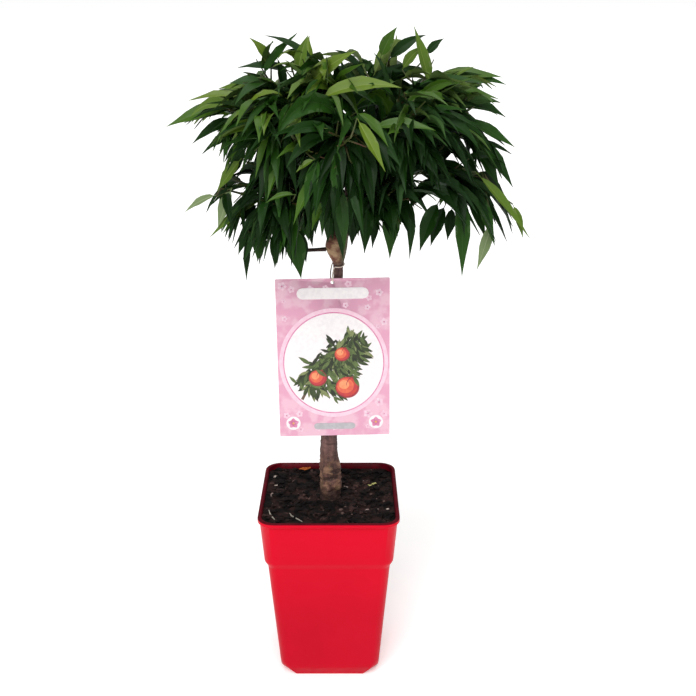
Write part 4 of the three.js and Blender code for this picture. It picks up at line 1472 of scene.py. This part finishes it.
def stroke(line, widths):
    """A flat stripe along a line of points."""
    left, right = [], []
    for i, (x, z) in enumerate(line):
        before, after = line[max(i - 1, 0)], line[min(i + 1, len(line) - 1)]
        heading = math.atan2(after[1] - before[1], after[0] - before[0])
        across, up = math.sin(heading) * widths[i] / 2, -math.cos(heading) * widths[i] / 2
        right.append((x + across, z + up))
        left.append((x - across, z - up))
    return right + left[::-1]


def blossom(shape, x, z, size, turn, layer, petals, heart):
    """Five petals and a heart, in the colours of those names."""
    for k in range(5):
        printed(shape, petal(x, z, size, size * 0.8, turn + k * TURN / 5), layer, petals)
    printed(shape, disc(x, z, size * 0.18, 12), layer + 1, heart)


def picture_fruit(shape, x, z, radius):
    """A peach as nested rounds, shaded to the lower right, with the groove down its side."""
    for share, across, up, colour in FRUIT_ROUNDS:
        round_form = disc(x + across * radius, z + up * radius, share * radius, 40, 0.95)
        printed(shape, round_form, FRUIT_LAYER + 1 - share, colour)
    turns = [math.radians(80 + 15 * k) for k in range(len(GROOVE_WIDTHS))]
    groove = [(x + (0.5 + 0.62 * math.cos(a)) * radius, z + 0.93 * math.sin(a) * radius) for a in turns]
    outline = stroke(groove, [radius * width for width in GROOVE_WIDTHS])
    printed(shape, outline, FRUIT_LAYER + 1, "crimson")


# The colours of the card's picture.
PRINT_COLOURS = {
    "white": ("f4eeee", "ece5e7"),
    "blush": ("f0cfdd", "edc2d3"),
    "rose": ("cf6f9a", "dc8fb2"),
    "green": ("47592a", "5f713b"),
    "dark green": ("283612", "38481e"),
    "deep green": ("181f08", "252e11"),
    "olive": ("707a48", "828a5a"),
    "crimson": ("8c2432", "a02c36"),
    "red": ("b8303c", "c8402f"),
    "coral": ("d65a44", "e06c48"),
    "apricot": ("ee8a5c", "f29a6c"),
    "brown": ("5f4836", "75604c"),
    "grey": ("aeabaf", "b9b6ba"),
    "gold": ("e7b64a", "f1cf7c"),
}
PRINTS = list(PRINT_COLOURS)
FIELD = (0, 82)  # the middle of the white oval
FIELD_RADIUS = 57
FIELD_SQUEEZE = 1.06
# The oval and its rim: radius, layer and colour.
FIELD_RINGS = [(FIELD_RADIUS, 3, "blush"), (53, 3.4, "rose"), (51.8, 3.8, "white")]
STEM_FOOT = (-34, 42)  # the branch's stem, from its foot to its tip, and its leaves
STEM_REACH = (62, 74)
STEM_STEPS = 12
STEM_WIDTHS = (3, 1.08)
STEM_LAYER = 4
BRANCH_LEAVES = 520
BRANCH_SPREAD = 27
BRANCH_GREENS = ("green", "dark green", "deep green", "olive")
BRANCH_EDGE = FIELD_RADIUS - 8  # how far out of the oval's middle they end
# The fruit in the picture: x, z and radius, and each one's rounds: size, middle and colour.
PICTURE_FRUIT = [(-17, 66, 9.5), (14, 55, 12.5), (9, 92, 8)]
FRUIT_ROUNDS = [
    (1, 0, 0, "crimson"),
    (0.9, -0.06, 0.06, "red"),
    (0.7, -0.16, 0.14, "coral"),
    (0.42, -0.28, 0.26, "apricot"),
]
FRUIT_LAYER = 6
GROOVE_WIDTHS = (0.09, 0.11, 0.1, 0.08, 0.06, 0.05, 0.03)
# Leaves that lie over the fruit: x, z and heading.
FRUIT_LEAVES = [(-13, 75, 2.4), (20, 68, 0.5), (15, 68, 2.2), (13, 100, 0.9), (-19, 76, 0.9)]
BLOSSOMS = 90
# Two bare bars, at the top and the bottom: z, width, height and colour.
BARS = [(158, 74, 12, "white"), (11, 44, 7, "grey")]
BADGE_X = 44
BADGE_Z = 15
BADGE_RADIUS = 7.6


def off_field(x, z):
    """How far a place is from the oval's middle, measured across its width."""
    return math.hypot(x - FIELD[0], (z - FIELD[1]) / FIELD_SQUEEZE)


def strew_blossoms(shape, roll):
    """Blossoms all over the ground round the oval, each apart from the others."""
    strewn = []
    for _ in range(BLOSSOMS):
        x, z, size, turn = roll(-54, 54), roll(5, 168), roll(2.6, 5.2), roll(0, TURN)
        apart = all(math.hypot(x - u, z - v) > size + other for u, v, other in strewn)
        if apart and off_field(x, z) > FIELD_RADIUS + size:
            strewn.append((x, z, size))
            blossom(shape, x, z, size, turn, 1, "blush", "rose")


def draw_branch(shape, roll):
    """A rising stem and its many long leaves, which hang to both sides within the oval."""
    shares = evenly(0, 1, STEM_STEPS)
    stem = [(STEM_FOOT[0] + STEM_REACH[0] * at, STEM_FOOT[1] + STEM_REACH[1] * at**0.8) for at in shares]
    printed(shape, stroke(stem, evenly(*STEM_WIDTHS, STEM_STEPS)), STEM_LAYER, "brown")
    for _ in range(BRANCH_LEAVES):
        share = roll(0.16, 1)
        x, z = stem[int(share * STEM_STEPS)]
        spread = roll(-1, 1)
        x += spread * BRANCH_SPREAD * (1.25 - share)
        z += abs(spread) * roll(-12, 4) + roll(-10, 10) - 4
        hanging = roll(0, 1) < 0.8
        heading = math.radians(-90 + 58 * spread + roll(-26, 26)) if hanging else roll(0, math.pi)
        green = BRANCH_GREENS[int(roll(0, 3.5))]
        length = roll(9, 16)
        tip = (x + length * math.cos(heading), z + length * math.sin(heading))
        if max(off_field(x, z), off_field(*tip)) < BRANCH_EDGE:
            leaf = petal(x, z, length, length * 0.26, heading)
            printed(shape, leaf, roll(STEM_LAYER + 0.2, FRUIT_LAYER), green)


def make_print():
    """The card's picture: a leafy fruiting branch in a white oval, and blossom strewn round it."""
    shape = Shape()
    roll = dice(19)
    strew_blossoms(shape, roll)
    for radius, layer, colour in FIELD_RINGS:
        printed(shape, disc(*FIELD, radius, 96, FIELD_SQUEEZE), layer, colour)
    draw_branch(shape, roll)
    for fruit in PICTURE_FRUIT:
        picture_fruit(shape, *fruit)
    for x, z, heading in FRUIT_LEAVES:
        leaf = petal(x, z, 14, 4, heading - math.pi / 2, 10)
        printed(shape, leaf, FRUIT_LAYER + 1.4, "green")
    for z, width, height, colour in BARS:
        printed(shape, bar(0, z, width, height), 3, colour)
    for x in (-BADGE_X, BADGE_X):
        printed(shape, disc(x, BADGE_Z, BADGE_RADIUS, 36), 3, "white")
        blossom(shape, x, BADGE_Z, 6, math.pi / 2, 4, "rose", "gold")
    looks = [two_tone(f"print {name}", "print", *colours) for name, colours in PRINT_COLOURS.items()]
    return shape.piece("card_print", looks, sharp=30)


# ---------------------------------------------------------------- tie


def tie_route():
    """The cord's loop: up before the card from its hole, round the neck and down behind the card."""
    neck, _ = section_at(TIE_HEIGHT)
    front = CARD_BACK - CARD_THICKNESS - TIE_RADIUS - CLEARANCE
    behind = CARD_BACK + TIE_RADIUS + CLEARANCE
    hole_z = CARD_TOP - CARD_HOLE_DROP + TIE_LIFT
    turned, free = hole_z + TIE_TURN_UP, CARD_TOP + TIE_OVER_CARD

    def ring(degrees):
        aside, deep = math.cos(math.radians(degrees)), math.sin(math.radians(degrees))
        return Vector((neck.x + TIE_REACH * aside, neck.y + TIE_REACH * deep, TIE_HEIGHT + TIE_DIP * deep))

    return [
        Vector((CARD_HOLE_X, CARD_BACK - CARD_THICKNESS / 2, hole_z)),
        Vector((CARD_HOLE_X, front, turned)),
        Vector((CARD_HOLE_X, front, free)),
        *[ring(degrees) for degrees in (228, 270, 315, 0, 45, 90, 135, 180)],
        Vector((CARD_HOLE_X - TIE_BACK_SHIFT, behind, free)),
        Vector((CARD_HOLE_X - TIE_BACK_SHIFT / 4, behind, turned)),
    ]


def make_tie():
    """The cord's loop as one closed tube, cream before the card and dark brown behind it as painted shade."""
    curve = bpy.data.curves.new("tie_cord", "CURVE")
    curve.dimensions = "3D"
    route = tie_route()
    spline = curve.splines.new("NURBS")
    spline.points.add(len(route) - 1)
    for point, spot in zip(spline.points, route):
        point.co = (*(spot * MM), 1)
    spline.use_cyclic_u = True
    spline.order_u = 3
    spline.resolution_u = 8
    curve.bevel_depth = TIE_RADIUS * MM
    curve.bevel_resolution = 3
    curve.materials.append(two_tone("cream cord", "cord", "ecdcd0", "d8bfae"))
    held = shown("tie_curve", curve)
    mesh = as_drawn(held)
    bpy.data.objects.remove(held)
    mesh.name = "tie_cord"
    mesh.materials.append(two_tone("cord in painted shade", "cord", "4a2c26", "67423a"))
    # Painted shade: the strand behind the card takes the dark brown slot.
    for face in mesh.polygons:
        x, y, z = face.center / MM
        if x < CARD_HOLE_X - 0.5 and y > CARD_BACK and z < TIE_HEIGHT - TIE_DIP:
            face.material_index = 1
    return shown("tie_cord", mesh)


# ---------------------------------------------------------------- the whole plant


def place(piece, slot, *nodes):
    """Hands a piece to the frame: it rides on the plant and stands for its nodes. The finish it is handed is
    not used.
    """
    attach(piece, "root")
    if nodes:
        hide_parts(*nodes)


def make_plant():
    boughs = [f"bough_{mass.name}" for mass in masses]
    clumps = [f"foliage_{mass.name}" for mass in masses]
    place(make_pot(), "pot", "pot")
    place(make_soil(), "soil", "soil")
    place(make_crumbs(), "soil")
    place(make_bark(), "bark", "trunk", *boughs)
    shoots = Shape()
    foliage = {shade: [] for shade in SHADES}
    limbs = limb_segments()
    for i, mass in enumerate(masses):
        grow_mass(mass, FIRST_SEED + i, limbs, shoots, foliage)
    young = two_tone("young shoot", "shoot", "3f4a20", "4c3022", "4a5a24")
    place(shoots.piece("twigs", [young], sharp=70), "bark", *clumps)
    for shade, (*colours, sheen) in SHADES.items():
        sides = zip(LEAF_SIDES.items(), colours)
        looks = [leaf_look(f"{shade} {side}", colour, sheen, *how) for (side, how), colour in sides]
        place(leaves_piece(f"leaves_{shade}", foliage[shade], looks), "foliage", *clumps)
    place(make_card(), "card", "card")
    place(make_print(), "card")
    place(make_tie(), "tie", "tie")


# ---------------------------------------------------------------- studio


def soft_sun(name, height, bearing, strength):
    """A broad even light."""
    light = bpy.data.lights.new(name, "SUN")
    light.energy = strength
    light.angle = math.radians(SUN_ANGLE)
    shown(name, light).rotation_euler = (math.radians(90 - height), 0, math.radians(bearing))


def make_sky():
    """An even dim sky with a bright band along the horizon, where the floor ends."""
    world = bpy.data.worlds.new("studio")
    bpy.context.scene.world = world
    world.use_nodes = True
    nodes, links = world.node_tree.nodes, world.node_tree.links
    way = nodes.new("ShaderNodeTexCoord").outputs["Generated"]
    split = nodes.new("ShaderNodeSeparateXYZ")
    links.new(way, split.inputs[0])
    band = nodes.new("ShaderNodeMapRange")
    links.new(split.outputs["Z"], band.inputs["Value"])
    for name, value in (("From Min", 0.0), ("From Max", SKY_BAND), ("To Min", 1.0), ("To Max", SKY_LIGHT)):
        band.inputs[name].default_value = value
    links.new(band.outputs[0], nodes["Background"].inputs["Strength"])
    nodes["Background"].inputs["Color"].default_value = (1, 1, 1, 1)


def make_studio():
    scene = bpy.context.scene
    lens = bpy.data.cameras.new("camera")
    lens.sensor_width = 36
    lens.lens = FOCAL_PIXELS / PICTURE_PIXELS * lens.sensor_width
    lens.clip_end = 2 * FLOOR_REACH * MM
    camera = shown("camera", lens)
    camera.location = CAMERA_PLACE
    camera.rotation_euler = (math.pi / 2 - CAMERA_PITCH, 0, CAMERA_YAW)
    scene.camera = camera

    floor = Shape()
    floor.add([(*spot, -0.5) for spot in disc(0, 0, FLOOR_REACH, 64)], [tuple(range(64))])
    floor.piece("floor", [floor_look()])

    make_sky()
    for name, light in LIGHTS.items():
        soft_sun(name, *light)
    scene.view_settings.view_transform = "Standard"
    scene.view_settings.look = "None"


make_plant()
make_studio()
